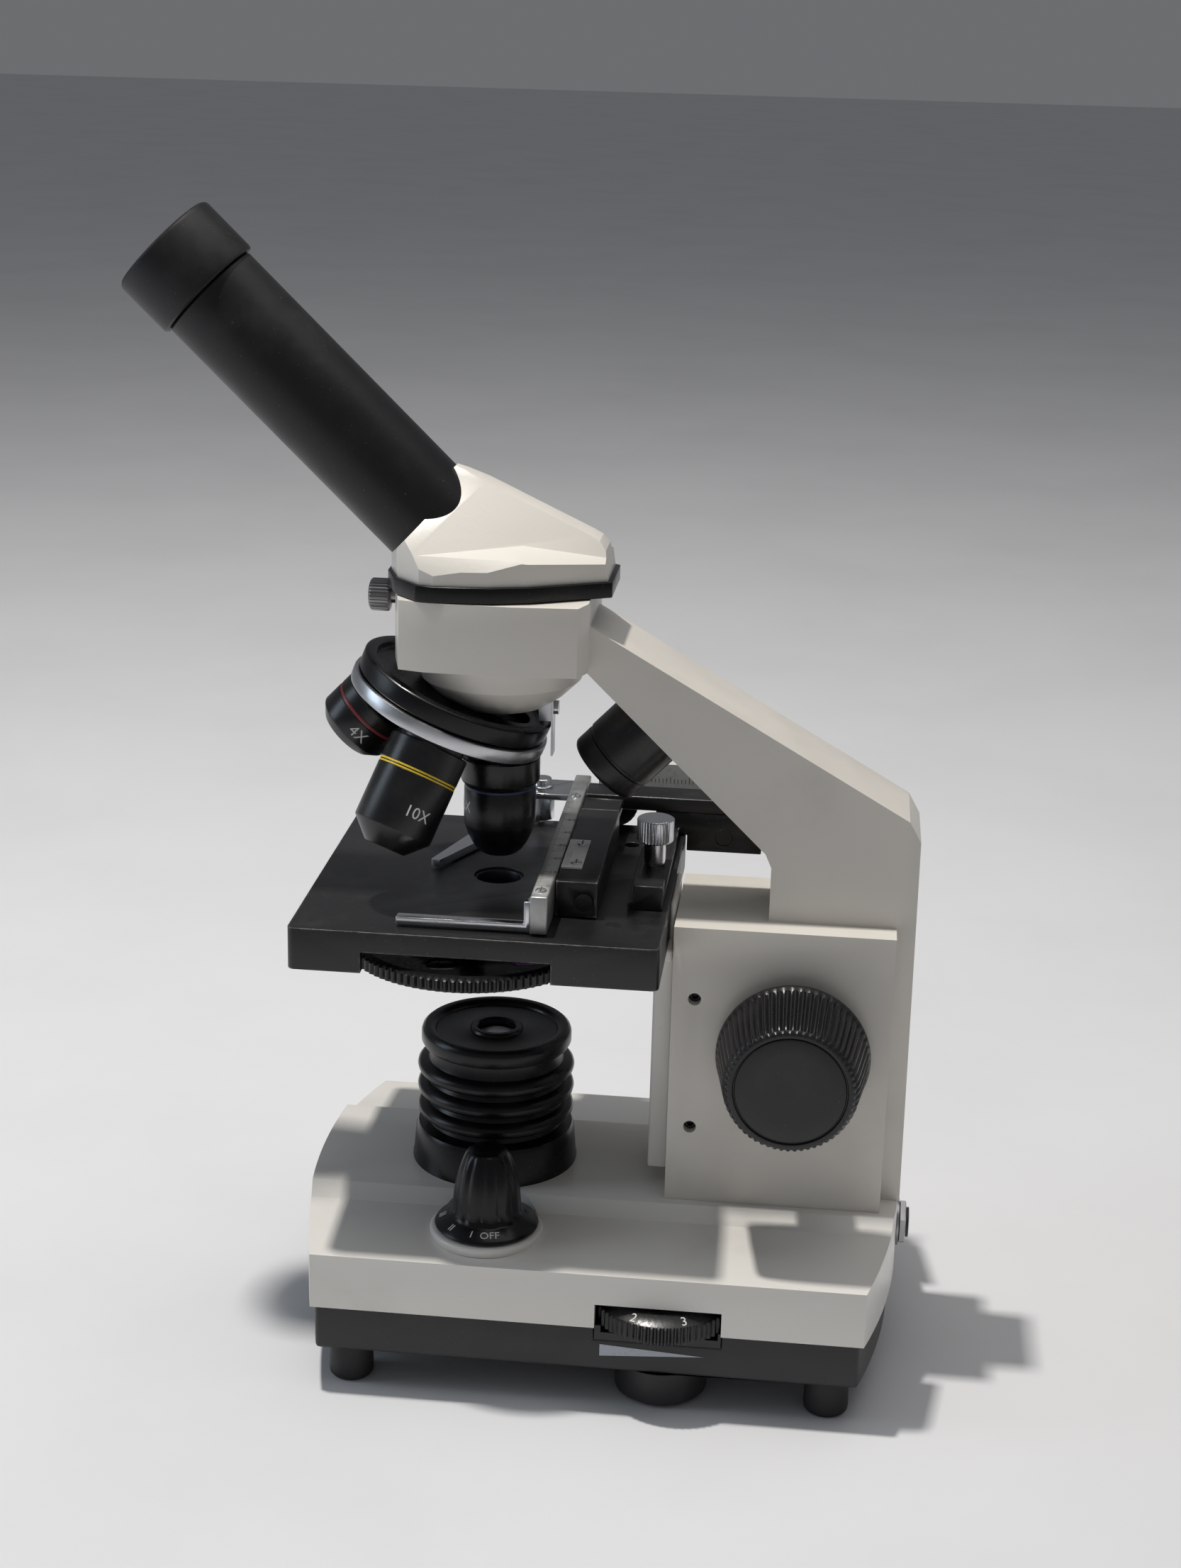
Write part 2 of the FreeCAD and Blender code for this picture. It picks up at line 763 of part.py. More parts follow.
bracket_face = box(
    (-D.bracket_half, D.bracket_half), (D.bracket_front, D.bracket_rear), (D.bracket_low, D.stage_low)
)
bracket_lip = box(
    (-D.bracket_half, D.bracket_half), (D.stage_rear, D.bracket_rear), (D.stage_low, D.stage_top - 0.6)
)
bracket_shelf = box((-18, 18), (29.5, D.bracket_rear), (104.4, D.stage_low))
tongue = box((-TONGUE_HALF, TONGUE_HALF), (D.bracket_rear, TONGUE_REAR), (TONGUE_LOW, TONGUE_TOP))
ship("stage_bracket", join(bracket_face, bracket_lip, bracket_shelf, tongue))

RACK_BACK = 68.2
tooth_pitch = math.pi * DIMENSIONS["pinion_radius"] * 2 / TEETH
rack_teeth = []
tooth_tip = D.pinion_y - D.pinion_radius + TOOTH_HEIGHT - 0.1
for step in range(-7, 7):
    middle = D.pinion_z + (step + 0.5) * tooth_pitch
    if TONGUE_LOW + 1 < middle.value < TONGUE_TOP - 1:
        rack_teeth.append(
            box(
                (-PINION_HALF, PINION_HALF),
                (RACK_BACK, tooth_tip),
                (middle - TOOTH_WIDTH / 2, middle + TOOTH_WIDTH / 2),
            )
        )
rack_strip = box((-PINION_HALF, PINION_HALF), (TONGUE_REAR, 69.5), (TONGUE_LOW, TONGUE_TOP))
ship("focus_rack", join(rack_strip, *rack_teeth))

screw_shank = rod((D.wheel_x, D.wheel_y, D.wheel_low - 1), PIVOT_SCREW, skin_low - D.wheel_low + 1)
screw_head = rod((D.wheel_x, D.wheel_y, D.wheel_low - 1.6), 4.6, 1.6 - TOUCH_GAP)
ship("wheel_screw", join(screw_shank, screw_head))

# ---------------------------------------------------------------- filter wheel

APERTURES = 6
hole_ring = math.hypot(DIMENSIONS["wheel_x"], DIMENSIONS["wheel_y"])
first_angle = math.atan2(-DIMENSIONS["wheel_y"], -DIMENSIONS["wheel_x"])


def wheel_hole(index):
    """The centre of one aperture, the first being on the optical axis."""
    angle = first_angle + index * 2 * math.pi / APERTURES
    return (D.wheel_x + hole_ring * math.cos(angle), D.wheel_y + hole_ring * math.sin(angle))


KNURL_WIDTH = 2.6
WHEEL_HUB = 6.0
wheel_top = D.wheel_low + D.wheel_thick
wheel_disc = rod((D.wheel_x, D.wheel_y, D.wheel_low), D.wheel_radius, D.wheel_thick)
under_web = carve(
    rod((D.wheel_x, D.wheel_y, D.wheel_low - 1), D.wheel_radius - KNURL_WIDTH, D.web_low - D.wheel_low + 1),
    rod((D.wheel_x, D.wheel_y, D.wheel_low - 2), WHEEL_HUB, 8),
)
over_web = rod((D.wheel_x, D.wheel_y, D.web_low + D.web_thick), D.wheel_radius - KNURL_WIDTH, 3)
wheel_tools = [rod((D.wheel_x, D.wheel_y, 100), PIVOT_SCREW + RUN_FIT, 20), under_web, over_web]
for index in range(APERTURES):
    across, along = wheel_hole(index)
    wheel_tools.append(rod((across, along, 100), D.filter_radius, 20))
ship("filter_wheel", carve(wheel_disc, *wheel_tools))

windows = []
for index in range(1, APERTURES - 1):
    across, along = wheel_hole(index)
    windows.append(rod((across, along, D.web_low + 0.1), D.filter_radius, D.web_thick - 0.3))
ship("filter_glasses", cluster(*windows))

# ---------------------------------------------------------------- slide holder

HOLDER_LOW = 118.0
BASE_TOP = 120.2
clamp_bar = box((D.rail_far + 1, 19.3), (34.0, 42.4), (HOLDER_LOW, BASE_TOP))
clamp_lug = box((13.0, 19.3), (35.3, 42.4), (HOLDER_LOW, 124.1))
guide_tower = box((D.rail_far + 1, D.rail_near - 1), (44.4, 64.0), (113.7, D.rail_low - TOUCH_GAP))
guide_link = box((D.rail_far + 1, D.rail_near - 1), (36.0, 46.0), (HOLDER_LOW, D.rail_low - TOUCH_GAP))
DRIVE_PIN = 2.2
holder_base = carve(
    join(clamp_bar, clamp_lug, guide_tower, guide_link),
    rod((D.rail_far - 2, D.y_drive_y, D.y_drive_z), DRIVE_PIN + RUN_FIT, 15, "X"),
    rod((D.clamp_x, D.clamp_y, 100), 2.1, 30),
)
ship("holder_base", holder_base)

CLAMP_HEAD = 4.7
clamp_profile = [
    (0, -6.0),
    (2.05, -6.0),
    (2.05, 0.3),
    (2.7, 0.3),
    (2.7, 6.6),
    (CLAMP_HEAD - 0.4, 6.6),
    (CLAMP_HEAD, 7.0),
    (CLAMP_HEAD, 12.1),
    (CLAMP_HEAD - 0.4, 12.5),
    (0, 12.5),
]
ship("clamp_screw", turned(clamp_profile), (D.clamp_x, D.clamp_y, BASE_TOP))

carriage_block = box(
    (D.carriage_far, D.carriage_near),
    (D.carriage_front, D.carriage_rear),
    (HOLDER_LOW + 0.2, D.carriage_top),
)
x_bore = rod((D.carriage_far - 1, D.x_drive_y, D.x_drive_z), DRIVE_PIN + RUN_FIT, 60, "X")
ship("carriage", carve(carriage_block, x_bore))

rail_beam = box((D.rail_far, D.rail_near), (D.carriage_front, D.rail_end), (D.rail_low, D.rail_top))
rail_arm = box(
    (D.rail_near - 1, D.carriage_far),
    (D.carriage_front, D.carriage_rear),
    (D.rail_low, D.carriage_top),
)
ship("y_rail", join(rail_beam, rail_arm))

SCALE_THICK = 0.4
SCALE_HEIGHT = 6.4
long_scale = box(
    (D.rail_far, D.rail_far + 0.8), (20.0, D.rail_end), (D.rail_top, D.rail_top + SCALE_HEIGHT)
)
vernier = box(
    (-3.0, 18.0),
    (D.carriage_front + 0.1, D.carriage_front + 5.2),
    (D.carriage_top, D.carriage_top + SCALE_THICK),
)
ship("scale_plates", cluster(long_scale, vernier))

bar = box((D.bar_far, D.bar_near), (D.bar_front, D.bar_rear), (D.bar_low, D.bar_top))
ship("slide_bar", cluster(bar))

FINGER_LOW = 118.4
FINGER_TOP = 120.4
flat_finger = box((36.9, 40.0), (-19.0, D.bar_front), (FINGER_LOW, FINGER_TOP))
finger_tab = box((36.9, 40.0), (D.bar_front - 1.5, D.bar_front), (FINGER_LOW, 126.0))
ship("fixed_finger", join(flat_finger, finger_tab))

PIVOT_PIN = 1.5
plate_low = 125.6
bracket_plate = box((-52.0, -39.0), (0.5, D.bar_front), (plate_low, 127.2))
bracket_hole = rod((D.finger_pivot_x, D.finger_pivot_y, 110), PIVOT_PIN, 30)
ship("finger_bracket", carve(bracket_plate, bracket_hole))

pin_profile = [(0, -7.6), (PIVOT_PIN, -7.6), (PIVOT_PIN, 1.65), (2.9, 1.65), (2.9, 3.9), (0, 3.9)]
ship("finger_screw", turned(pin_profile), (D.finger_pivot_x, D.finger_pivot_y, plate_low))

HUB = 3.4
FINGER_OUTLINE = [
    (0, 1.8),
    (12, -4.4),
    (26, -11.6),
    (44.8, -20.2),
    (44.0, -22.4),
    (24, -16.2),
    (9, -8.4),
    (-1.5, -1.8),
]
finger_strip = padded("XY_Plane", FINGER_OUTLINE, 2.0)
set_place(finger_strip, (D.finger_pivot_x, D.finger_pivot_y, FINGER_LOW + 0.1))
hub_low = FINGER_LOW + 0.1
finger_hub = rod((D.finger_pivot_x, D.finger_pivot_y, hub_low), HUB, plate_low - TOUCH_GAP - hub_low)
finger_bore = rod((D.finger_pivot_x, D.finger_pivot_y, 110), PIVOT_PIN + RUN_FIT, 30)
ship("spring_finger", carve(join(finger_strip, finger_hub), finger_bore))

for name, along, height, inner in (
    ("x_drive_knob", D.x_drive_y, D.x_drive_z, 27.7),
    ("y_drive_knob", D.y_drive_y, D.y_drive_z, -39.6),
):
    drive_pin = rod((D.holder_knob_far + 2, along, height), DRIVE_PIN, inner - D.holder_knob_far - 2, "X")
    grip_length = D.holder_knob_near - D.holder_knob_far
    grip = rod((D.holder_knob_far, along, height), D.holder_knob_radius, grip_length, "X")
    ship(name, join(drive_pin, grip))

# ---------------------------------------------------------------- nosepiece

AXLE = 3.5
disc_profile = [
    (AXLE + 0.02, 4.0),
    (24.3, 4.0),
    (24.6, 4.3),
    (24.6, 8.3),
    (24.0, 8.8),
    (21.8, 8.8),
    (21.4, SEAT),
    (AXLE + 0.02, SEAT),
]
fixed_disc = turned(disc_profile)
set_place(fixed_disc, (0, D.turret_y, D.turret_z), turret_turn)
ship("nosepiece_disc", carve(fixed_disc, rod((0, 0, 145), LIGHT_PATH, 40)))

axle_profile = [(0, -7.4), (5.5, -7.4), (5.5, -5.4), (AXLE, -5.4), (AXLE, SEAT), (0, SEAT)]
ship("turret_axle", turned(axle_profile), (0, D.turret_y, D.turret_z), turret_turn)

click_lug = box((-3.0, 3.0), (9.6, 12.6), (159.4, 164.8))
click_leaf = box((-2.4, 2.4), (12.6, 13.1), (150.4, 164.4))
click_head = rod((0, 13.0, 162.2), 1.7, 1.2, "Y")
ship("click_spring", carve(join(click_lug, click_leaf, click_head), bowl))

ring_wall = 1.4
ring_profile = [
    (D.turret_radius - ring_wall, 0),
    (D.turret_radius - 0.5, 0),
    (D.turret_radius, 0.5),
    (D.turret_radius, D.ring_height - 0.3),
    (D.turret_radius - 0.5, D.ring_height + 0.2),
    (D.turret_radius - ring_wall, D.ring_height + 0.2),
]
ship("turret_ring", turned(ring_profile), (0, D.turret_y, D.turret_z), turret_turn)

plate_radius = D.turret_radius - ring_wall - 0.01
turret_profile = [
    (AXLE + RUN_FIT, 3.6),
    (plate_radius, 3.6),
    (plate_radius, 1.93),
    (8.0, -4.53),
    (AXLE + RUN_FIT, -5.1),
]
turret_body = turned(turret_profile)
set_place(turret_body, (0, 0, 0))


def station_turn(angle):
    """The turn that carries a downward profile to a station of the tilted turret."""
    spin = FreeCAD.Rotation(FreeCAD.Vector(0, 0, 1), angle)
    lean = FreeCAD.Rotation(FreeCAD.Vector(1, 0, 0), DIMENSIONS["turret_tilt"])
    return spin.multiply(lean)


STATIONS = {"objective_40x": 0, "objective_10x": -90, "objective_4x": 180, "blank_plug": 90}
station_holes = []
for angle in STATIONS.values():
    turn = station_turn(angle)
    far_end = turn.multVec(FreeCAD.Vector(0, 0, -60)) + FreeCAD.Vector(0, 0, DIMENSIONS["apex"])
    station_holes.append(rod(tuple(far_end), D.thread_radius + 0.02, 59, rotation=turn))
ship("turret_plate", carve(turret_body, *station_holes), (0, D.turret_y, D.turret_z), turret_turn)

SEAT_DISTANCE = 40.6
THREAD_TOP = 39.0
NECK = 8.3
NECK_LOW = 43.0
BORE = 4.5
rim = D.objective_radius
mounting = [
    (D.thread_radius, -THREAD_TOP),
    (D.thread_radius, -SEAT_DISTANCE),
    (NECK, -SEAT_DISTANCE),
    (NECK, -NECK_LOW),
]
OBJECTIVES = {
    "objective_40x": [(BORE, -THREAD_TOP)] + mounting + [
        (rim, -NECK_LOW),
        (rim, -48.5),
        (rim - 0.9, -50.3),
        (rim - 0.9, -60.6),
        (rim - 2.8, -65.2),
        (4.7, -68.0),
        (3.0, -68.2),
        (BORE - 1.8, -66.0),
    ],
    "objective_10x": [(BORE, -THREAD_TOP)] + mounting + [
        (rim, -NECK_LOW),
        (rim, -65.0),
        (rim - 0.4, -65.4),
        (5.0, -69.7),
        (3.2, -69.7),
        (3.2, -66.0),
    ],
    "objective_4x": [(BORE, -THREAD_TOP)] + mounting + [
        (rim, -NECK_LOW),
        (rim, -52.6),
        (rim - 2.2, -55.0),
        (5.2, -55.0),
        (5.2, -52.0),
    ],
    "blank_plug": [(0, -THREAD_TOP)] + mounting[:3] + [(NECK, -42.4), (0, -42.4)],
}
apex_point = along_turret(D.apex)
for name, profile in OBJECTIVES.items():
    turn = turret_turn.multiply(station_turn(STATIONS[name]))
    ship(name, turned(profile), apex_point, turn)

GLASS = {"objective_40x": (-66.0, 2.6), "objective_10x": (-66.0, 3.1), "objective_4x": (-52.0, 5.1)}
glasses = []
for name, (height, radius) in GLASS.items():
    turn = turret_turn.multiply(station_turn(STATIONS[name]))
    glass = turned([(0, height), (radius, height), (radius, height + 1.6), (0, height + 1.6)])
    set_place(glass, apex_point, turn)
    glasses.append(glass)
ship("objective_lenses", cluster(*glasses))

# ---------------------------------------------------------------- head and eyepiece

BAND_HALF = [(7.0, -26.8), (16.0, -23.6), (22.6, -17.6), (23.6, -14.0), (22.6, 0.0), (19.8, 9.0), (9.8, 27.4)]
band = padded("XY_Plane", mirrored(BAND_HALF), D.band_top - D.band_low)
set_place(band, (0, 0, D.band_low))
SPIGOT = SOCKET_RADIUS - 0.06
PRISM_ROOM = 13.0
spigot = rod((0, 0, SOCKET_LOW + 0.6), SPIGOT, D.band_top - SOCKET_LOW - 0.6)
lock_groove_ring = carve(
    rod((0, 0, LOCK_HEIGHT - 2.4), SPIGOT + 1, 4.8), rod((0, 0, LOCK_HEIGHT - 3), SPIGOT - 1.2, 7)
)

inset = 0.7
casting_plan = padded(
    "XY_Plane",
    mirrored([(across - inset, along + (inset if along < 0 else -inset)) for across, along in BAND_HALF]),
    40,
)
set_place(casting_plan, (0, 0, D.band_top))
casting_side = padded(
    "YZ_Plane",
    [
        (-27.5, D.band_top),
        (-27.5, 198.6),
        (-14.6, 212.6),
        (-12.9, 219.9),
        (-11.4, 220.9),
        (-8.6, 219.9),
        (21.2, 206.2),
        (23.6, 204.9),
        (25.2, 202.8),
        (26.3, D.band_top),
    ],
    60,
)
set_place(casting_side, (-30, 0, 0))


def facet(first, second, third):
    """A big cutter whose lower face lies on the plane through three points."""
    first, second, third = (FreeCAD.Vector(*point) for point in (first, second, third))
    normal = (second - first).cross(third - first).normalize()
    if normal.z < 0:
        normal = -normal
    turn = FreeCAD.Rotation(FreeCAD.Vector(0, 0, 1), normal)
    return rod(tuple(first), 60, 30, rotation=turn)


RIDGE_FRONT = (4.3, -4.1, 217.7)
RIDGE_REAR = (4.3, 25.0, 204.5)
FOOT_FRONT = (20.0, -17.4, 202.8)
FOOT_MIDDLE = (10.9, 6.0, 204.3)
FOOT_REAR = (6.5, 25.3, 201.4)
MOUTH_SIDE = (14.0, -18.2, 208.85)
LEDGE_FRONT = (22.0, -14.4, 200.0)
LEDGE_MIDDLE = (21.5, 5.0, 201.7)
flanks = []
for side in (-1, 1):
    corners = [
        (side * across, along, up)
        for across, along, up in (
            RIDGE_FRONT, RIDGE_REAR, FOOT_FRONT, FOOT_MIDDLE, FOOT_REAR, MOUTH_SIDE, LEDGE_FRONT, LEDGE_MIDDLE
        )
    ]
    ridge_front, ridge_rear, foot_front, foot_middle, foot_rear, mouth_side, ledge_front, ledge_middle = corners
    over_flank = facet(ridge_front, ridge_rear, foot_front)
    flanks.append(overlap(over_flank, facet(foot_front, foot_middle, ledge_middle)))
    flanks.append(overlap(over_flank, facet(foot_middle, foot_rear, ledge_middle)))
    flanks.append(facet(ridge_front, foot_front, mouth_side))
    flanks.append(facet(foot_front, ledge_front, ledge_middle))
tube_turn = FreeCAD.Rotation(FreeCAD.Vector(1, 0, 0), DIMENSIONS["tube_tilt"])
lean = math.radians(DIMENSIONS["tube_tilt"])


def along_tube(distance):
    """A point on the tube's axis, measured from the head's front face."""
    return (0, D.tube_y - distance * math.sin(lean), D.tube_z + distance * math.cos(lean))


TUBE_ROOT = -9.0
tube_socket = rod(along_tube(TUBE_ROOT), D.tube_radius, 60, rotation=tube_turn)
light_way = rod(along_tube(-30), 9.0, 60, rotation=tube_turn)
skirt = carve(join(band, spigot), rod((0, 0, 170), PRISM_ROOM, 40), lock_groove_ring, tube_socket)
ship("head_band", skirt)
casting = carve(
    overlap(casting_plan, casting_side),
    *flanks,
    tube_socket,
    light_way,
    rod((0, 0, D.band_top - 1), PRISM_ROOM, 5),
)
ship("head_casting", casting)

PRISM_HALF = 7.0
prism_outline = [(-8.4, 184.4), (8.4, 184.4), (8.4, 196.0), (-8.4, 190.0)]
prism = padded("YZ_Plane", prism_outline, 2 * PRISM_HALF)
ship("head_prism", prism, (-PRISM_HALF, 0, 0))

tube_profile = [
    (D.tube_bore, TUBE_ROOT),
    (D.tube_radius - 0.02, TUBE_ROOT),
    (D.tube_radius - 0.02, D.tube_length - 0.4),
    (D.tube_radius - 0.4, D.tube_length),
    (D.tube_bore, D.tube_length),
]
ship("eyepiece_tube", turned(tube_profile), along_tube(0), tube_turn)

lock_profile = [(0, 0), (2.0, 0), (2.0, 12.3), (3.2, 12.3), (4.0, 12.8), (4.0, 17.0), (3.4, 17.6), (0, 17.6)]
lock_turn = FreeCAD.Rotation(FreeCAD.Vector(1, 0, 0), 90)
ship("head_lock_screw", turned(lock_profile), (0, -14.9, LOCK_HEIGHT), lock_turn)

SLEEVE = D.tube_bore - 0.04
EYE_OPENING = 7.2
length = D.eyepiece_length
eyepiece_profile = [
    (9.6, -26.0),
    (SLEEVE, -26.0),
    (SLEEVE, 0.08),
    (D.eyepiece_radius, 0.08),
    (D.eyepiece_radius, length - 0.8),
    (D.eyepiece_radius - 0.8, length),
    (EYE_OPENING + 2.6, length),
    (EYE_OPENING, length - 2.6),
    (EYE_OPENING, length - 3.6),
    (9.6, length - 3.6),
]
ship("eyepiece_shell", turned(eyepiece_profile), along_tube(D.tube_length), tube_turn)
eye_lens_profile = [
    (0, length - 7.4), (9.5, length - 7.4), (9.5, length - 3.7), (6.8, length - 3.7), (0, length - 3.0),
]
field_lens_profile = [(0, -25.6), (9.5, -25.6), (9.5, -22.5), (0, -22.0)]
eyepiece_glasses = cluster(turned(eye_lens_profile), turned(field_lens_profile))
ship("eyepiece_lenses", eyepiece_glasses, along_tube(D.tube_length), tube_turn)

# ---------------------------------------------------------------- export

DOC.recompute()
troubles = []
for item in DOC.Objects:
    if "Invalid" in item.State or "Error" in item.State:
        troubles.append(f"{item.Name} ({item.Label}): {item.State}")
for item in SUBPARTS:
    if item.Shape.isNull() or not item.Shape.isValid():
        troubles.append(f"{item.Label}: bad shape")
    elif not item.Shape.Solids:
        troubles.append(f"{item.Label}: no solid")
if troubles:
    raise RuntimeError("; ".join(troubles))

os.makedirs("parts", exist_ok=True)
whole = FreeCAD.BoundBox()
for item in SUBPARTS:
    item.Shape.exportStep(f"parts/{item.Label}.step")
    whole.add(item.Shape.BoundBox)
    print(f"{item.Label:20s} solids {len(item.Shape.Solids)}  volume {item.Shape.Volume / 1000:8.2f} cm3")
print(f"{len(SUBPARTS)} nodes")
print(f"X {whole.XMin:.2f} {whole.XMax:.2f}")
print(f"Y {whole.YMin:.2f} {whole.YMax:.2f}")
print(f"Z {whole.ZMin:.2f} {whole.ZMax:.2f}")
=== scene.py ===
import json
import logging
import math
from dataclasses import dataclass, field
from enum import Enum
from typing import Callable, Iterable, Sequence

import bpy
from mathutils import Matrix, Vector

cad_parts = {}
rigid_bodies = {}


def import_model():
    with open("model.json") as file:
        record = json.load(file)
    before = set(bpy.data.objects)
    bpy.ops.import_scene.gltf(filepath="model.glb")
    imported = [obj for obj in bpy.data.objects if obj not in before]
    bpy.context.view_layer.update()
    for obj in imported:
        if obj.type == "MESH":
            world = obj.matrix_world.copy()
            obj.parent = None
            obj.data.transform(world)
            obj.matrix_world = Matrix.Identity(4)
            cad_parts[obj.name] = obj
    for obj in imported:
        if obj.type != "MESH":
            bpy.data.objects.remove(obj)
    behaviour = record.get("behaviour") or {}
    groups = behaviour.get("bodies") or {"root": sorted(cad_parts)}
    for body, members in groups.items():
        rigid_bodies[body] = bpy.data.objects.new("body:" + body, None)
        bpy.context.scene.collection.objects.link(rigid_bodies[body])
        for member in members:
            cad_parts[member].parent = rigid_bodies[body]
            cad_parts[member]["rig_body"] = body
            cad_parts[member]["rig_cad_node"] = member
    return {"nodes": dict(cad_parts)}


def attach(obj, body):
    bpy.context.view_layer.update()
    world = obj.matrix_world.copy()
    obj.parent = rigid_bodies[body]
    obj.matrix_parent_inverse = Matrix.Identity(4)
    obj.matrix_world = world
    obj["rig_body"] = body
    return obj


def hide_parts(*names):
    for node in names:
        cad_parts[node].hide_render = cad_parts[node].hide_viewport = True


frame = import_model()

logging.basicConfig(level=logging.INFO, format="%(message)s")
LOG = logging.getLogger("microscope")
MM = 0.001
DATUM_Y = -8.05
Colour = tuple[float, float, float]


def place(x: float, y: float, z: float) -> Vector:
    """Give a point in metres from millimetres about the optical axis.

    Args:
        x: Distance towards the dimmer side.
        y: Distance towards the arm.
        z: Height over the bench.

    Returns:
        The same point in the frame of the CAD.
    """
    return Vector((x * MM, (y + DATUM_Y) * MM, z * MM))


# ---------------------------------------------------------------- shader maths


@dataclass
class Wire:
    """A socket that can be used in arithmetic."""

    tree: "Tree"
    socket: bpy.types.NodeSocket

    def maths(self, operation: str, first: object, second: object) -> "Wire":
        """Add one Math node.

        Args:
            operation: The node's operation.
            first: The first value or wire.
            second: The second value or wire.

        Returns:
            The node's output.
        """
        return self.tree.node("ShaderNodeMath", {"operation": operation}, {0: first, 1: second})

    def __add__(self, other: object) -> "Wire":
        """Add."""
        return self.maths("ADD", self, other)

    def __radd__(self, other: object) -> "Wire":
        """Add, with the wire second."""
        return self.maths("ADD", other, self)

    def __sub__(self, other: object) -> "Wire":
        """Subtract."""
        return self.maths("SUBTRACT", self, other)

    def __rsub__(self, other: object) -> "Wire":
        """Subtract the wire from a value."""
        return self.maths("SUBTRACT", other, self)

    def __mul__(self, other: object) -> "Wire":
        """Multiply."""
        return self.maths("MULTIPLY", self, other)

    def __rmul__(self, other: object) -> "Wire":
        """Multiply, with the wire second."""
        return self.maths("MULTIPLY", other, self)


class Tree:
    """The node tree of one material."""

    def __init__(self, name: str) -> None:
        """Start a material with a Principled shader.

        Args:
            name: The material's name.
        """
        self.material = bpy.data.materials.new(name)
        self.material.use_nodes = True
        self.nodes = self.material.node_tree.nodes
        self.links = self.material.node_tree.links
        self.shader = self.nodes["Principled BSDF"]

    def node(
        self, kind: str, settings: dict[str, object], inputs: dict[object, object], output: object = 0
    ) -> Wire:
        """Add a node.

        Args:
            kind: The node's type.
            settings: Properties, set before the sockets; "stops" fills a colour ramp.
            inputs: Socket name or number to a value or a wire.
            output: The socket to give back.

        Returns:
            The chosen output.
        """
        made = self.nodes.new(kind)
        for key, value in settings.items():
            if key == "stops":
                ramp = made.color_ramp
                for position, colour in value[2:]:
                    ramp.elements.new(position).color = (*colour, 1.0)
                for element, (position, colour) in zip((ramp.elements[0], ramp.elements[-1]), value[:2]):
                    element.position = position
                    element.color = (*colour, 1.0)
                continue
            setattr(made, key, value)
        for key, value in inputs.items():
            self.feed(made.inputs[key], value)
        return Wire(self, made.outputs[output])

    def feed(self, socket: bpy.types.NodeSocket, value: object) -> None:
        """Put a value or a wire into a socket.

        Args:
            socket: The socket to fill.
            value: A number, a colour or a wire.
        """
        if isinstance(value, Wire):
            self.links.new(value.socket, socket)
        elif isinstance(value, (tuple, list)) and len(value) == 3 and len(socket.default_value) == 4:
            socket.default_value = (*value, 1.0)
        else:
            socket.default_value = value

    def place_of(self) -> Wire:
        """Give the object coordinates."""
        return self.node("ShaderNodeTexCoord", {}, {}, "Object")

    def noise(self, scale: float, detail: float = 3.0, rough: float = 0.5, at: Wire | None = None) -> Wire:
        """Add noise.

        Args:
            scale: Cycles per metre.
            detail: Octaves.
            rough: Share of the fine octaves.
            at: Coordinates, by default the object's.

        Returns:
            The noise, from 0 to 1.
        """
        values = {"Vector": at or self.place_of(), "Scale": scale, "Detail": detail, "Roughness": rough}
        return self.node("ShaderNodeTexNoise", {}, values, "Fac")

    def stretched(self, scale: tuple[float, float, float]) -> Wire:
        """Give object coordinates scaled along each axis.

        Args:
            scale: The scale along X, Y and Z.

        Returns:
            The scaled coordinates.
        """
        return self.node("ShaderNodeMapping", {}, {"Vector": self.place_of(), "Scale": scale})

    def band(self, value: Wire, low: float, high: float, start: float = 0.0, end: float = 1.0) -> Wire:
        """Map a range smoothly onto another.

        Args:
            value: What to map.
            low: The value that gives start.
            high: The value that gives end.
            start: The first result.
            end: The last result.

        Returns:
            The mapped value.
        """
        inputs = {"Value": value, "From Min": low, "From Max": high, "To Min": start, "To Max": end}
        return self.node("ShaderNodeMapRange", {"interpolation_type": "SMOOTHSTEP"}, inputs)

    def blend(self, factor: object, first: object, second: object) -> Wire:
        """Mix two colours.

        Args:
            factor: The share of the second.
            first: A colour or a wire.
            second: A colour or a wire.

        Returns:
            The mixed colour.
        """
        return self.node("ShaderNodeMix", {"data_type": "RGBA"}, {0: factor, 6: first, 7: second}, 2)

    def bump(self, height: Wire, strength: float, distance: float, under: Wire | None = None) -> Wire:
        """Add a bump.

        Args:
            height: The height map.
            strength: How strongly it shows.
            distance: The depth in metres.
            under: A bump below this one.

        Returns:
            The normal.
        """
        values: dict[object, object] = {"Height": height, "Strength": strength, "Distance": distance}
        if under is not None:
            values["Normal"] = under
        return self.node("ShaderNodeBump", {}, values)

    def edge_wear(self, radius: float) -> Wire:
        """Give how much a spot lies on a convex edge.

        Args:
            radius: How far to look, in metres.

        Returns:
            The mask for painted edge highlight and wear, 0 on flats and 1 on edges.
        """
        inside = self.node(
            "ShaderNodeAmbientOcclusion", {"samples": 6, "inside": True, "only_local": True},
            {"Distance": radius}, "AO",
        )
        return self.band(inside, 0.72, 0.40)

    def put(self, **sockets: object) -> None:
        """Fill the shader's sockets.

        Args:
            **sockets: Socket names with underscores for spaces.
        """
        for name, value in sockets.items():
            self.feed(self.shader.inputs[name.replace("_", " ")], value)


# ---------------------------------------------------------------- finishes


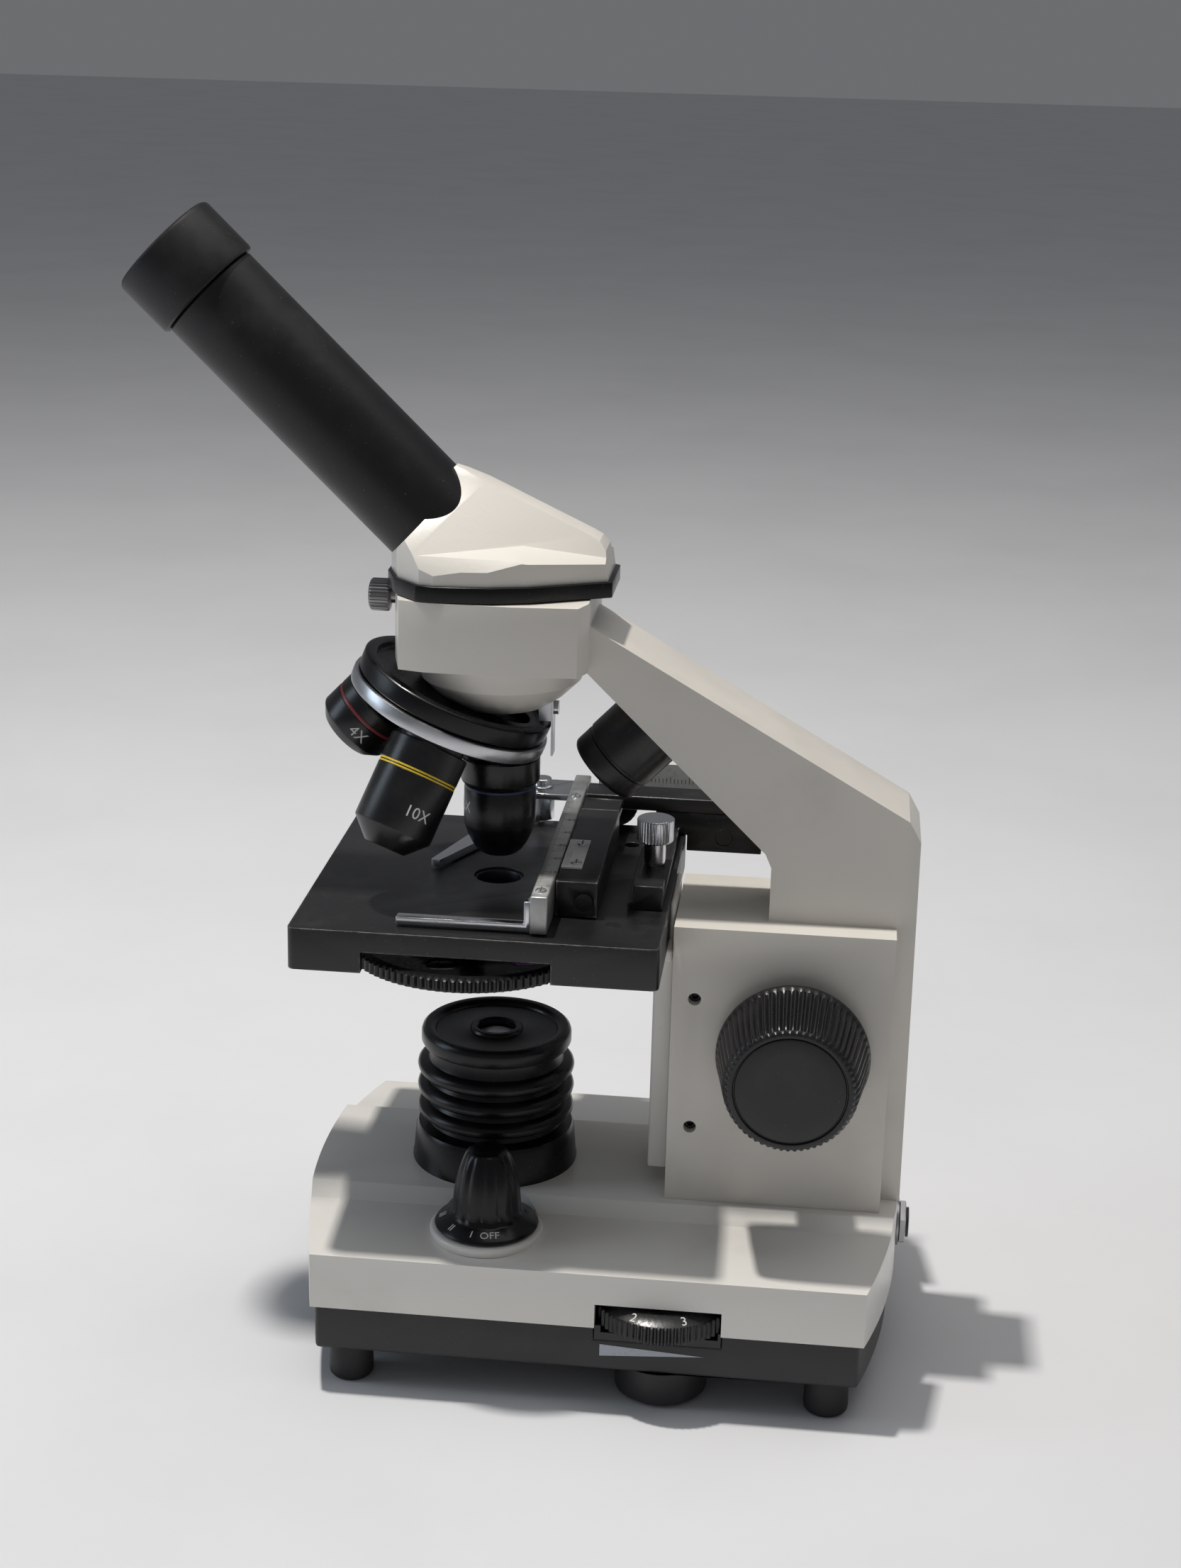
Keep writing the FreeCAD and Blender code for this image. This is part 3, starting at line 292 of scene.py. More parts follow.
@dataclass(frozen=True)
class Enamel:
    """Sprayed enamel on a casting, with a faint orange peel and handling marks."""

    name: str
    colour: Colour
    grime: Colour
    rough: float = 0.34
    coat: float = 0.25

    def make(self) -> bpy.types.Material:
        """Build the material."""
        tree = Tree(self.name)
        cloud = tree.noise(26.0, 4.0, 0.6)
        specks = tree.noise(620.0, 2.0, 0.6)
        dirt = tree.band(cloud, 0.50, 0.80, 0.0, 0.35) + tree.band(specks, 0.70, 0.80, 0.0, 0.25)
        colour = tree.blend(dirt, self.colour, self.grime)
        peel = tree.noise(900.0, 3.0, 0.55)
        smear = tree.noise(70.0, 5.0, 0.65, tree.stretched((1.0, 0.35, 1.6)))
        tree.put(
            Base_Color=colour,
            Roughness=tree.band(smear, 0.35, 0.75, self.rough, self.rough + 0.16),
            Coat_Weight=self.coat,
            Coat_Roughness=0.22,
            Normal=tree.bump(peel, 0.22, 0.00012),
        )
        return tree.material


@dataclass(frozen=True)
class Plastic:
    """Moulded plastic or powder coat with a fine grain, dust, and lighter edges that are painted edge
    highlight and wear.
    """

    name: str
    colour: Colour
    dust: Colour = (0.16, 0.155, 0.15)
    rough: float = 0.40
    grain: float = 1500.0
    depth: float = 0.00009
    wear: float = 0.0
    worn: Colour = (0.42, 0.40, 0.37)
    shine: float = 0.5
    dusting: float = 0.10

    def make(self) -> bpy.types.Material:
        """Build the material."""
        tree = Tree(self.name)
        cloud = tree.noise(38.0, 5.0, 0.62)
        motes = tree.noise(1700.0, 1.0, 0.5)
        dusty = tree.band(cloud, 0.50, 0.80, 0.0, self.dusting) + tree.band(motes, 0.73, 0.79, 0.0, 0.30)
        colour = tree.blend(dusty, self.colour, self.dust)
        if self.wear:
            # Lighter patches on convex edges: painted highlight of the light along the edges, mixed with real
            # wear.
            highlight_and_chips = tree.edge_wear(0.0009) * tree.band(tree.noise(240.0, 4.0, 0.7), 0.38, 0.60)
            colour = tree.blend(highlight_and_chips * self.wear, colour, self.worn)
        tree.put(
            Base_Color=colour,
            Roughness=tree.band(cloud, 0.30, 0.75, self.rough, self.rough + 0.14),
            Specular_IOR_Level=self.shine,
            Normal=tree.bump(tree.noise(self.grain, 3.0, 0.6), 0.35, self.depth),
        )
        return tree.material


@dataclass(frozen=True)
class Metal:
    """Plated or bare metal with fine machining lines and a film of handling."""

    name: str
    colour: Colour
    rough: float = 0.22
    lines: tuple[float, float, float] = (160.0, 160.0, 2600.0)
    depth: float = 0.00003
    stain: Colour = (0.30, 0.27, 0.23)

    def make(self) -> bpy.types.Material:
        """Build the material."""
        tree = Tree(self.name)
        film = tree.noise(90.0, 5.0, 0.62)
        fine = tree.noise(1.0, 3.0, 0.6, tree.stretched(self.lines))
        pits = tree.noise(1300.0, 2.0, 0.6)
        mark = tree.band(film, 0.56, 0.80, 0.0, 0.30) + tree.band(pits, 0.70, 0.78, 0.0, 0.30)
        tree.put(
            Base_Color=tree.blend(mark, self.colour, self.stain),
            Metallic=1.0,
            Roughness=tree.band(film, 0.35, 0.75, self.rough, self.rough + 0.18) + fine * 0.06,
            Normal=tree.bump(fine, 0.30, self.depth),
        )
        return tree.material


@dataclass(frozen=True)
class Glass:
    """A coated lens or a coloured filter."""

    name: str
    colour: Colour
    alpha: float = 0.45
    rough: float = 0.03

    def make(self) -> bpy.types.Material:
        """Build the material."""
        tree = Tree(self.name)
        sheen = tree.noise(60.0, 2.0, 0.5)
        tint = tuple(min(1.0, part * 1.25 + 0.02) for part in self.colour)
        tree.put(
            Base_Color=tree.blend(tree.band(sheen, 0.3, 0.7), self.colour, tint),
            Roughness=tree.band(tree.noise(300.0), 0.4, 0.9, self.rough, self.rough + 0.05),
            Alpha=self.alpha,
            Coat_Weight=0.6,
            Coat_Roughness=0.02,
        )
        return tree.material


@dataclass(frozen=True)
class Tinted:
    """Glass that is coloured all through."""

    name: str
    colour: Colour

    def make(self) -> bpy.types.Material:
        """Build the material."""
        tree = Tree(self.name)
        streak = tree.band(tree.noise(160.0, 2.0, 0.5), 0.35, 0.8)
        paler = tuple(min(1.0, part + 0.06) for part in self.colour)
        tree.put(
            Base_Color=tree.blend(streak, self.colour, paler),
            Roughness=tree.band(tree.noise(500.0), 0.5, 0.9, 0.0, 0.03),
            Transmission_Weight=1.0,
            IOR=1.15,
        )
        return tree.material


@dataclass(frozen=True)
class Print:
    """Ink or a thin printed label."""

    name: str
    colour: Colour
    rough: float = 0.5

    def make(self) -> bpy.types.Material:
        """Build the material."""
        tree = Tree(self.name)
        patch = tree.noise(900.0, 4.0, 0.7)
        faded = tuple(part * 0.62 for part in self.colour)
        tree.put(
            Base_Color=tree.blend(tree.band(patch, 0.50, 0.85), self.colour, faded),
            Roughness=tree.band(patch, 0.2, 0.8, self.rough, self.rough + 0.15),
        )
        return tree.material


@dataclass(frozen=True)
class Ground:
    """The bench."""

    name: str
    colour: Colour

    def make(self) -> bpy.types.Material:
        """Build the material."""
        tree = Tree(self.name)
        cloud = tree.noise(7.0, 5.0, 0.6)
        marks = tree.noise(160.0, 3.0, 0.6)
        darker = tuple(part * 0.93 for part in self.colour)
        shade = tree.band(cloud, 0.35, 0.75, 0.0, 0.7) + tree.band(marks, 0.70, 0.80, 0.0, 0.4)
        tree.put(
            Base_Color=tree.blend(shade, self.colour, darker),
            Roughness=0.72,
            Normal=tree.bump(tree.noise(300.0, 3.0, 0.6), 0.1, 0.0002),
        )
        return tree.material


class Finish(Enum):
    """Every finish on the stand."""

    # The first enamel is the base's cream paint made darker: painted shade for the arm and the head casting,
    # whose sides face away from the light.
    IVORY = Enamel("shaded_cream_enamel", (0.74, 0.705, 0.65), (0.50, 0.46, 0.40))
    CREAM = Enamel("cream_enamel", (0.79, 0.765, 0.725), (0.55, 0.51, 0.45), rough=0.30, coat=0.35)
    # The stage coat gets lighter edges: painted edge highlight and wear.
    STAGE = Plastic("stage_coat", (0.010, 0.010, 0.011), rough=0.30, grain=1100.0, wear=0.9, dusting=0.18)
    BLACK = Plastic("black_moulding", (0.008, 0.008, 0.009), rough=0.24)
    CAP = Plastic("cap_moulding", (0.014, 0.013, 0.014), rough=0.36)
    TRAY = Plastic("tray_moulding", (0.022, 0.022, 0.023), rough=0.42, grain=1300.0)
    GLOSS = Plastic(
        "gloss_black", (0.003, 0.003, 0.004), rough=0.22, grain=2200.0, depth=0.00004, shine=0.35
    )
    LACQUER = Plastic("barrel_lacquer", (0.005, 0.005, 0.006), rough=0.22, grain=1800.0, depth=0.00005)
    TUBE = Plastic("tube_black", (0.006, 0.006, 0.007), rough=0.36, grain=900.0, depth=0.00005, shine=0.4)
    RUBBER = Plastic("rubber", (0.014, 0.014, 0.015), rough=0.55, grain=700.0, depth=0.00015)
    CHROME = Metal("bright_chrome", (0.74, 0.75, 0.78), rough=0.11)
    SATIN = Metal("satin_chrome", (0.60, 0.61, 0.63), rough=0.24)
    DARK_CHROME = Metal("dark_chrome", (0.36, 0.35, 0.35), rough=0.22)
    ALUMINIUM = Metal("drawn_aluminium", (0.50, 0.50, 0.49), rough=0.38, lines=(40.0, 2200.0, 2200.0))
    STEEL = Metal("plain_steel", (0.46, 0.46, 0.47), rough=0.28)
    BLACK_STEEL = Metal("blacked_steel", (0.055, 0.055, 0.060), rough=0.35)
    BRASS = Metal("brass", (0.62, 0.47, 0.21), rough=0.26)
    LENS = Glass("coated_lens", (0.10, 0.11, 0.15), alpha=0.62)
    FROST = Glass("frosted_lens", (0.62, 0.64, 0.66), alpha=0.80, rough=0.30)
    MAGENTA = Tinted("magenta_filter", (0.72, 0.22, 0.84))
    CLEAR = Tinted("clear_filter", (0.97, 0.97, 0.97))
    GREEN = Tinted("green_filter", (0.22, 0.72, 0.32))
    AZURE = Tinted("blue_filter", (0.22, 0.45, 0.86))
    EMITTER = Print("lamp_chip", (0.86, 0.74, 0.28), rough=0.3)
    BOARD = Plastic("circuit_board", (0.02, 0.12, 0.05), rough=0.4)
    WRAP = Plastic("cell_sleeve", (0.16, 0.17, 0.20), rough=0.3)
    WHITE_INK = Print("white_ink", (0.74, 0.74, 0.72))
    GREY_INK = Print("grey_label", (0.46, 0.50, 0.55))
    DARK_INK = Print("dark_ink", (0.10, 0.10, 0.10))
    SCALE = Print("scale_plate", (0.66, 0.66, 0.63), rough=0.35)
    YELLOW = Print("yellow_band", (0.72, 0.50, 0.03), rough=0.3)
    RED = Print("red_band", (0.26, 0.03, 0.035), rough=0.3)
    BLUE = Print("blue_band", (0.02, 0.035, 0.12), rough=0.3)
    BENCH = Ground("bench", (0.745, 0.75, 0.77))


class Paintbox:
    """Makes each finish once."""

    made: dict[Finish, bpy.types.Material] = {}

    @classmethod
    def of(cls, finish: Finish) -> bpy.types.Material:
        """Give the material of a finish."""
        if finish not in cls.made:
            cls.made[finish] = finish.value.make()
        return cls.made[finish]


def dress(thing: bpy.types.Object, finish: Finish) -> None:
    """Give a whole piece one finish.

    Args:
        thing: The piece.
        finish: Its finish.
    """
    thing.data.materials.clear()
    thing.data.materials.append(Paintbox.of(finish))
    for face in thing.data.polygons:
        face.material_index = 0


# ---------------------------------------------------------------- modelling


def deselect() -> None:
    """Leave edit mode and select nothing."""
    if bpy.context.object and bpy.context.object.mode != "OBJECT":
        bpy.ops.object.mode_set(mode="OBJECT")
    bpy.ops.object.select_all(action="DESELECT")


def pick(thing: bpy.types.Object) -> bpy.types.Object:
    """Make one piece the active one.

    Args:
        thing: The piece.

    Returns:
        The same piece.
    """
    deselect()
    thing.select_set(True)
    bpy.context.view_layer.objects.active = thing
    return thing


class Bench:
    """Edit-mode steps that the sub-assemblies share."""

    @staticmethod
    def named(name: str) -> bpy.types.Object:
        """Name the piece that was just added."""
        thing = bpy.context.object
        thing.name = name
        thing.data.name = name
        return thing

    @staticmethod
    def settle(thing: bpy.types.Object) -> None:
        """Move a piece's place into its mesh."""
        pick(thing)
        bpy.ops.object.transform_apply(location=True, rotation=True, scale=True)

    @staticmethod
    def apply(thing: bpy.types.Object, kind: str, **settings: object) -> None:
        """Add a modifier and apply it.

        Args:
            thing: The piece.
            kind: The modifier's type.
            **settings: Its properties.
        """
        pick(thing)
        modifier = thing.modifiers.new(kind.title(), kind)
        for key, value in settings.items():
            setattr(modifier, key, value)
        bpy.ops.object.modifier_apply(modifier=modifier.name)

    @staticmethod
    def outwards(thing: bpy.types.Object, angle: float = 32.0) -> None:
        """Turn the faces outwards and shade the soft edges.

        Args:
            thing: The piece.
            angle: The sharpest angle that is shaded smooth, in degrees.
        """
        pick(thing)
        bpy.ops.object.mode_set(mode="EDIT")
        bpy.ops.mesh.select_all(action="SELECT")
        bpy.ops.mesh.remove_doubles(threshold=0.000004)
        bpy.ops.mesh.normals_make_consistent(inside=False)
        bpy.ops.object.mode_set(mode="OBJECT")
        bpy.ops.object.shade_smooth_by_angle(angle=math.radians(angle))

    @classmethod
    def turn(
        cls,
        name: str,
        profile: Sequence[tuple[float, float]],
        at: Vector,
        towards: Vector = Vector((0, 0, 1)),
        sides: int = 64,
        ribs: Callable[[int, int], float] | None = None,
    ) -> bpy.types.Object:
        """Turn a piece from a profile, ring by ring.

        Args:
            name: The piece's name.
            profile: Radius and height of each ring, in millimetres.
            at: Where the profile's zero lies.
            towards: The direction of the profile's heights.
            sides: Corners of each ring.
            ribs: Gives how far a corner moves outwards, in millimetres, from ring and corner.

        Returns:
            The piece.
        """
        deselect()
        first = profile[0]
        bpy.ops.mesh.primitive_circle_add(
            vertices=sides, radius=max(first[0], 0.01) * MM, location=(0, 0, first[1] * MM)
        )
        thing = cls.named(name)
        bpy.ops.object.transform_apply(location=True)
        bpy.ops.object.mode_set(mode="EDIT")
        bpy.ops.mesh.select_all(action="SELECT")
        for (radius, height), (wider, higher) in zip(profile, profile[1:]):
            grow = max(wider, 0.01) / max(radius, 0.01)
            bpy.ops.mesh.extrude_region_move(
                TRANSFORM_OT_translate={"value": (0, 0, (higher - height) * MM)}
            )
            bpy.ops.transform.resize(value=(grow, grow, 1), center_override=(0, 0, higher * MM))
        bpy.ops.object.mode_set(mode="OBJECT")
        if ribs:
            for number, corner in enumerate(thing.data.vertices):
                flat = Vector((corner.co.x, corner.co.y, 0))
                corner.co += flat.normalized() * ribs(number // sides, number % sides) * MM
        for end in (0, len(profile) - 1):
            cls.close_ring(thing, end, sides, profile[end][0] <= 0.01)
        thing.matrix_world = Matrix.Translation(at) @ towards.to_track_quat("Z", "Y").to_matrix().to_4x4()
        cls.settle(thing)
        cls.outwards(thing)
        return thing

    @staticmethod
    def close_ring(thing: bpy.types.Object, ring: int, sides: int, to_point: bool) -> None:
        """Close one ring of a turned piece with a pole or a cap.

        Args:
            thing: The piece.
            ring: The ring's number.
            sides: Corners of each ring.
            to_point: Whether the ring shrinks to one point.
        """
        pick(thing)
        bpy.ops.object.mode_set(mode="EDIT")
        bpy.ops.mesh.select_all(action="DESELECT")
        bpy.ops.mesh.select_mode(type="VERT")
        bpy.ops.object.mode_set(mode="OBJECT")
        for number in range(ring * sides, (ring + 1) * sides):
            thing.data.vertices[number].select = True
        bpy.ops.object.mode_set(mode="EDIT")
        if to_point:
            if ring:
                bpy.ops.mesh.merge(type="CENTER")
            else:
                bpy.ops.mesh.edge_face_add()
        else:
            bpy.ops.mesh.edge_face_add()
        bpy.ops.object.mode_set(mode="OBJECT")

    @classmethod
    def block(cls, name: str, low: Vector, high: Vector, bevel: float = 0.0003) -> bpy.types.Object:
        """Make a block with rounded edges between two corners.

        Args:
            name: The piece's name.
            low: The lowest corner.
            high: The highest corner.
            bevel: The rounding, in metres.

        Returns:
            The piece.
        """
        deselect()
        bpy.ops.mesh.primitive_cube_add(size=1.0, location=(low + high) / 2)
        thing = cls.named(name)
        thing.scale = high - low
        cls.settle(thing)
        if bevel:
            cls.apply(thing, "BEVEL", width=bevel, segments=2, limit_method="ANGLE")
        cls.outwards(thing)
        return thing

    @classmethod
    def softened(
        cls, name: str, node: str, bevel: float, segments: int = 3, angle: float = 24.0
    ) -> bpy.types.Object:
        """Copy a CAD node and round its edges as a casting's are.

        Args:
            name: The new piece's name.
            node: The CAD node.
            bevel: The rounding, in metres.
            segments: Steps of the rounding.
            angle: The sharpest angle that is left alone, in degrees.

        Returns:
            The rounded piece, which stands for the node.
        """
        source = frame["nodes"][node]
        thing = source.copy()
        thing.data = source.data.copy()
        thing.parent = None
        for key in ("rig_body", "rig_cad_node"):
            if key in thing:
                del thing[key]
        bpy.context.scene.collection.objects.link(thing)
        thing.name = name
        thing.data.name = name
        pick(thing)
        bpy.ops.object.mode_set(mode="EDIT")
        bpy.ops.mesh.select_all(action="SELECT")
        bpy.ops.mesh.remove_doubles(threshold=0.000003)
        bpy.ops.mesh.dissolve_limited(angle_limit=math.radians(0.6), delimit={"NORMAL"})
        bpy.ops.object.mode_set(mode="OBJECT")
        cls.apply(
            thing, "BEVEL", width=bevel, segments=segments, limit_method="ANGLE",
            angle_limit=math.radians(angle), use_clamp_overlap=True, harden_normals=False,
        )
        pick(thing)
        bpy.ops.object.shade_smooth_by_angle(angle=math.radians(38))
        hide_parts(node)
        return thing

    @classmethod
    def lettering(cls, name: str, words: str, height: float, thick: float = 0.08) -> bpy.types.Object:
        """Write flat letters as a mesh that lies on XY about the origin.

        Args:
            name: The piece's name.
            words: The letters.
            height: Their height, in millimetres.
            thick: Their thickness, in millimetres.

        Returns:
            The piece.
        """
        deselect()
        bpy.ops.object.text_add(location=(0, 0, 0))
        thing = bpy.context.object
        thing.name = name
        thing.data.body = words
        thing.data.size = height * 1.38 * MM
        thing.data.extrude = thick * MM / 2
        thing.data.align_x = "CENTER"
        thing.data.align_y = "CENTER"
        thing.data.resolution_u = 3
        bpy.ops.object.convert(target="MESH")
        thing = bpy.context.object
        thing.data.name = name
        return thing

    @classmethod
    def stand_at(cls, thing: bpy.types.Object, at: Vector, right: Vector, up: Vector) -> None:
        """Place a flat piece by where its right and its up point.

        Args:
            thing: The piece, drawn on XY.
            at: Where its middle goes.
            right: Where its X points.
            up: Where its Y points.
        """
        right = right.normalized()
        out = right.cross(up).normalized()
        true_up = out.cross(right)
        turn = Matrix((right, true_up, out)).transposed().to_4x4()
        thing.matrix_world = Matrix.Translation(at) @ turn
        cls.settle(thing)

    @classmethod
    def roll(cls, thing: bpy.types.Object, radius: float) -> None:
        """Wrap a flat piece round a cylinder whose axis is its Y.

        Args:
            thing: The piece, drawn on XY about the origin.
            radius: The cylinder's radius, in metres.
        """
        pick(thing)
        bpy.ops.object.mode_set(mode="EDIT")
        bpy.ops.mesh.select_all(action="SELECT")
        bpy.ops.mesh.quads_convert_to_tris()
        bpy.ops.mesh.subdivide(number_cuts=1)
        bpy.ops.object.mode_set(mode="OBJECT")
        for corner in thing.data.vertices:
            angle = corner.co.x / radius
            reach = radius + corner.co.z
            corner.co = Vector((reach * math.sin(angle), corner.co.y, reach * math.cos(angle)))

    @classmethod
    def copies(cls, thing: bpy.types.Object, moves: Iterable[Matrix], name: str) -> bpy.types.Object:
        """Copy a finished piece to each place and join the copies.

        Args:
            thing: The piece to repeat; it is used up.
            moves: One matrix for each copy.
            name: The joined piece's name.

        Returns:
            The joined piece.
        """
        made = []
        for move in moves:
            twin = thing.copy()
            twin.data = thing.data.copy()
            bpy.context.scene.collection.objects.link(twin)
            twin.data.transform(move)
            made.append(twin)
        bpy.data.objects.remove(thing)
        return cls.joined(made, name)

    @classmethod
    def joined(cls, things: Sequence[bpy.types.Object], name: str) -> bpy.types.Object:
        """Join pieces into one.

        Args:
            things: The pieces.
            name: The joined piece's name.

        Returns:
            The joined piece.
        """
        deselect()
        for thing in things:
            thing.select_set(True)
        bpy.context.view_layer.objects.active = things[0]
        if len(things) > 1:
            bpy.ops.object.join()
        return cls.named(name)


@dataclass
class SubAssembly:
    """A group of pieces that is built and dressed together."""

    pieces: list[bpy.types.Object] = field(default_factory=list)

    def add(
        self, thing: bpy.types.Object, body: str, finish: Finish, slot: str, stands_for: Sequence[str] = ()
    ) -> bpy.types.Object:
        """Finish a new piece and let it ride.

        Args:
            thing: The piece.
            body: The body that carries it.
            finish: Its finish.
            slot: The record's material slot; not used.
            stands_for: CAD nodes that it replaces.

        Returns:
            The piece.
        """
        dress(thing, finish)
        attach(thing, body)
        if stands_for:
            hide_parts(*stands_for)
        self.pieces.append(thing)
        LOG.info("piece %s: %d faces, rides on %s", thing.name, len(thing.data.polygons), body)
        return thing

    def paint(self, finishes: dict[str, Finish]) -> None:
        """Dress CAD nodes that keep their own shape.

        Args:
            finishes: Node name to finish.
        """
        for node, finish in finishes.items():
            dress(frame["nodes"][node], finish)
            LOG.info("node %s: %s", node, finish.name.lower())


# ---------------------------------------------------------------- the stand


@dataclass
class Base(SubAssembly):
    """The two-part base with its feet, dimmer and selector."""

    side: float = 51.3
    dimmer: tuple[float, float] = (38.7, 47.3)
    dimmer_radius: float = 17.3
    dimmer_low: float = 20.8
    dimmer_thick: float = 6.4
    selector: tuple[float, float] = (34.0, 2.8)
    knob_low: float = 39.1
    feet: tuple[tuple[float, float], ...] = ((42.6, -29.4), (42.6, 88.2), (-42.6, -29.4), (-42.6, 88.2))

    def build(self) -> None:
        """Make every piece of the base."""
        self.shells()
        self.rubber_feet()
        self.dimmer_wheel()
        self.wedge_mark()
        self.window_sill()
        self.selector_knob()
        self.power_socket()
        self.paint(
            {
                "battery_door": Finish.TRAY,
                "battery_cells": Finish.WRAP,
                "battery_cradle": Finish.BLACK,
                "control_board": Finish.BOARD,
                "dimmer_pot": Finish.STEEL,
                "selector_switch": Finish.STEEL,
            }
        )

    def shells(self) -> None:
        """Round the edges of the upper shell and the tray."""
        self.add(
            Bench.softened("upper_shell", "base_shell", 0.0021, 4), "stand", Finish.CREAM, "ivory_paint"
        )
        self.add(Bench.softened("lower_tray", "base_tray", 0.0009, 3), "stand", Finish.TRAY, "black_plastic")
        self.add(
            Bench.softened("selector_ring", "selector_collar", 0.0007, 3),
            "stand", Finish.CREAM, "ivory_paint"
        )

    def rubber_feet(self) -> None:
        """Turn four feet with a soft lower rim."""
        profile = [(0, 0), (3.6, 0), (4.9, 0.25), (5.4, 0.9), (5.5, 1.8), (5.3, 9.9), (0, 9.9)]
        first = Bench.turn("foot", profile, Vector((0, 0, 0)), sides=48)
        moves = [Matrix.Translation(place(x, y, 0)) for x, y in self.feet]
        feet = Bench.copies(first, moves, "feet_soft")
        self.add(feet, "stand", Finish.RUBBER, "rubber", ["rubber_feet"])

    def power_socket(self) -> None:
        """Turn the threaded socket with its washer, nut and contact."""
        out = Vector((0, 1, 0))
        thread = [(2.8, 0.0), (3.95, 0.0), (3.95, 12.0)]
        for step in range(9):
            thread += [(3.62, 12.2 + step * 0.34), (3.98, 12.37 + step * 0.34)]
        thread += [(3.6, 15.2), (2.8, 15.2), (2.8, 0.0)]
        barrel = Bench.turn("barrel", thread, place(0, 92.0, 30.0), out, 48)
        washer = Bench.turn(
            "washer", [(4.05, 0), (6.0, 0), (6.0, 0.6), (4.05, 0.6), (4.05, 0)],
            place(0, 104.0, 30.0), out, 48
        )
        nut = [(4.05, 0), (5.4, 0), (5.95, 0.25), (5.95, 1.45), (5.4, 1.7), (4.05, 1.7), (4.05, 0)]
        hexagon = Bench.turn("hexagon", nut, place(0, 104.65, 30.0), out, 6)
        contact = Bench.turn(
            "contact", [(0, 0), (1.0, 0), (1.0, 11.4), (0.6, 12.0), (0, 12.1)], place(0, 94.0, 30.0), out, 24
        )
        socket = Bench.joined([barrel, washer, hexagon, contact], "power_socket")
        self.add(socket, "stand", Finish.STEEL, "steel", ["power_inlet"])

    def dimmer_wheel(self) -> None:
        """Turn the grooved thumbwheel and print its numbers."""
        edge = self.dimmer_radius
        top = self.dimmer_thick
        profile = [
            (3.1, 0), (edge - 1.2, 0), (edge - 0.4, 0.35), (edge - 0.25, 0.8), (edge - 0.25, top - 1.9),
            (edge - 0.5, top - 1.5), (edge - 3.0, top), (3.1, top), (3.1, 0),
        ]

        def ribs(ring: int, corner: int) -> float:
            """Alternate the rim's corners between rib and groove."""
            return (0.25 if corner % 4 < 2 else -0.35) if ring in (2, 3, 4) else 0.0

        at = place(*self.dimmer, self.dimmer_low)
        wheel = Bench.turn("dimmer_thumbwheel", profile, at, sides=256, ribs=ribs)
        self.add(wheel, "dimmer", Finish.BLACK, "black_plastic", ["dimmer_wheel"])
        digits = []
        for step in range(1, 6):
            angle = math.radians(-23 + (step - 2) * 46)
            digit = Bench.lettering("digit", str(step), 2.4)
            out = Vector((math.cos(angle), math.sin(angle), 0))
            right = Vector((-math.sin(angle), math.cos(angle), 0))
            spot = place(*self.dimmer, self.dimmer_low + top - 0.72) + out * (edge - 1.75) * MM
            Bench.stand_at(digit, spot, right, Vector((0, 0, 0.6)) - out)
            digits.append(digit)
        self.add(Bench.joined(digits, "dimmer_digits"), "dimmer", Finish.WHITE_INK, "scale_white")

    def window_sill(self) -> None:
        """Close the tray's edge round the thumbwheel."""
        outer = self.side - 1.4
        blocks = [
            Bench.block("sill", place(47.5, 31.6, 18.2), place(outer, 62.2, 20.2), 0.0),
            Bench.block("cheek", place(49.0, 31.6, 20.2), place(outer, 33.1, 22.0), 0.0),
            Bench.block("cheek", place(49.0, 61.5, 20.2), place(outer, 62.2, 22.0), 0.0),
        ]
        self.add(Bench.joined(blocks, "window_sill"), "stand", Finish.TRAY, "black_plastic")

    def wedge_mark(self) -> None:
        """Print the wedge that says which way is brighter."""
        deselect()
        bpy.ops.mesh.primitive_circle_add(vertices=3, radius=0.01, fill_type="NGON")
        wedge = Bench.named("wedge_label")
        reach = (self.side - 1.4) + 0.05
        for corner, (along, up) in zip(wedge.data.vertices, ((33.0, 17.0), (33.0, 13.9), (58.3, 15.5))):
            corner.co = place(reach, along, up)
        Bench.settle(wedge)
        Bench.apply(wedge, "SOLIDIFY", thickness=0.0001, offset=0.0)
        Bench.outwards(wedge)
        self.add(wedge, "stand", Finish.GREY_INK, "scale_white")

    def selector_knob(self) -> None:
        """Turn the fluted selector knob and print its four positions."""
        profile = [
            (2.5, -9.5), (2.5, 0), (12.0, 0), (12.7, 0.25), (12.8, 0.6), (12.4, 1.15), (9.4, 2.7),
            (8.9, 3.1), (8.5, 4.0), (8.35, 6.5), (8.1, 9.5), (7.6, 12.5), (6.8, 15.4), (5.9, 17.8),
            (5.0, 19.3), (4.1, 20.0), (2.4, 20.3), (0, 20.3),
        ]

        def flutes(ring: int, corner: int) -> float:
            """Press shallow flutes into the grip."""
            depth = 0.42 if 8 <= ring <= 13 else 0.0
            return -depth * (0.5 + 0.5 * math.cos(corner / 96 * 2 * math.pi * 12)) ** 3

        at = place(*self.selector, self.knob_low)
        knob = Bench.turn("selector_grip", profile, at, sides=96, ribs=flutes)
        self.add(knob, "selector", Finish.GLOSS, "black_plastic", ["selector_knob"])
        marks = []
        for words, angle in (("OFF", 12), ("I", -12), ("II", -44), ("III", -84)):
            turn = math.radians(angle)
            out = Vector((math.cos(turn), math.sin(turn), 0))
            right = Vector((-math.sin(turn), math.cos(turn), 0))
            slope = Vector((0, 0, 1)) * 0.5
            mark = Bench.lettering("mark", words, 2.0, 0.05)
            spot = at + out * 10.9 * MM + Vector((0, 0, 2.0 * MM))
            Bench.stand_at(mark, spot, right, -out + slope)
            marks.append(mark)
        self.add(Bench.joined(marks, "selector_marks"), "selector", Finish.WHITE_INK, "scale_white")


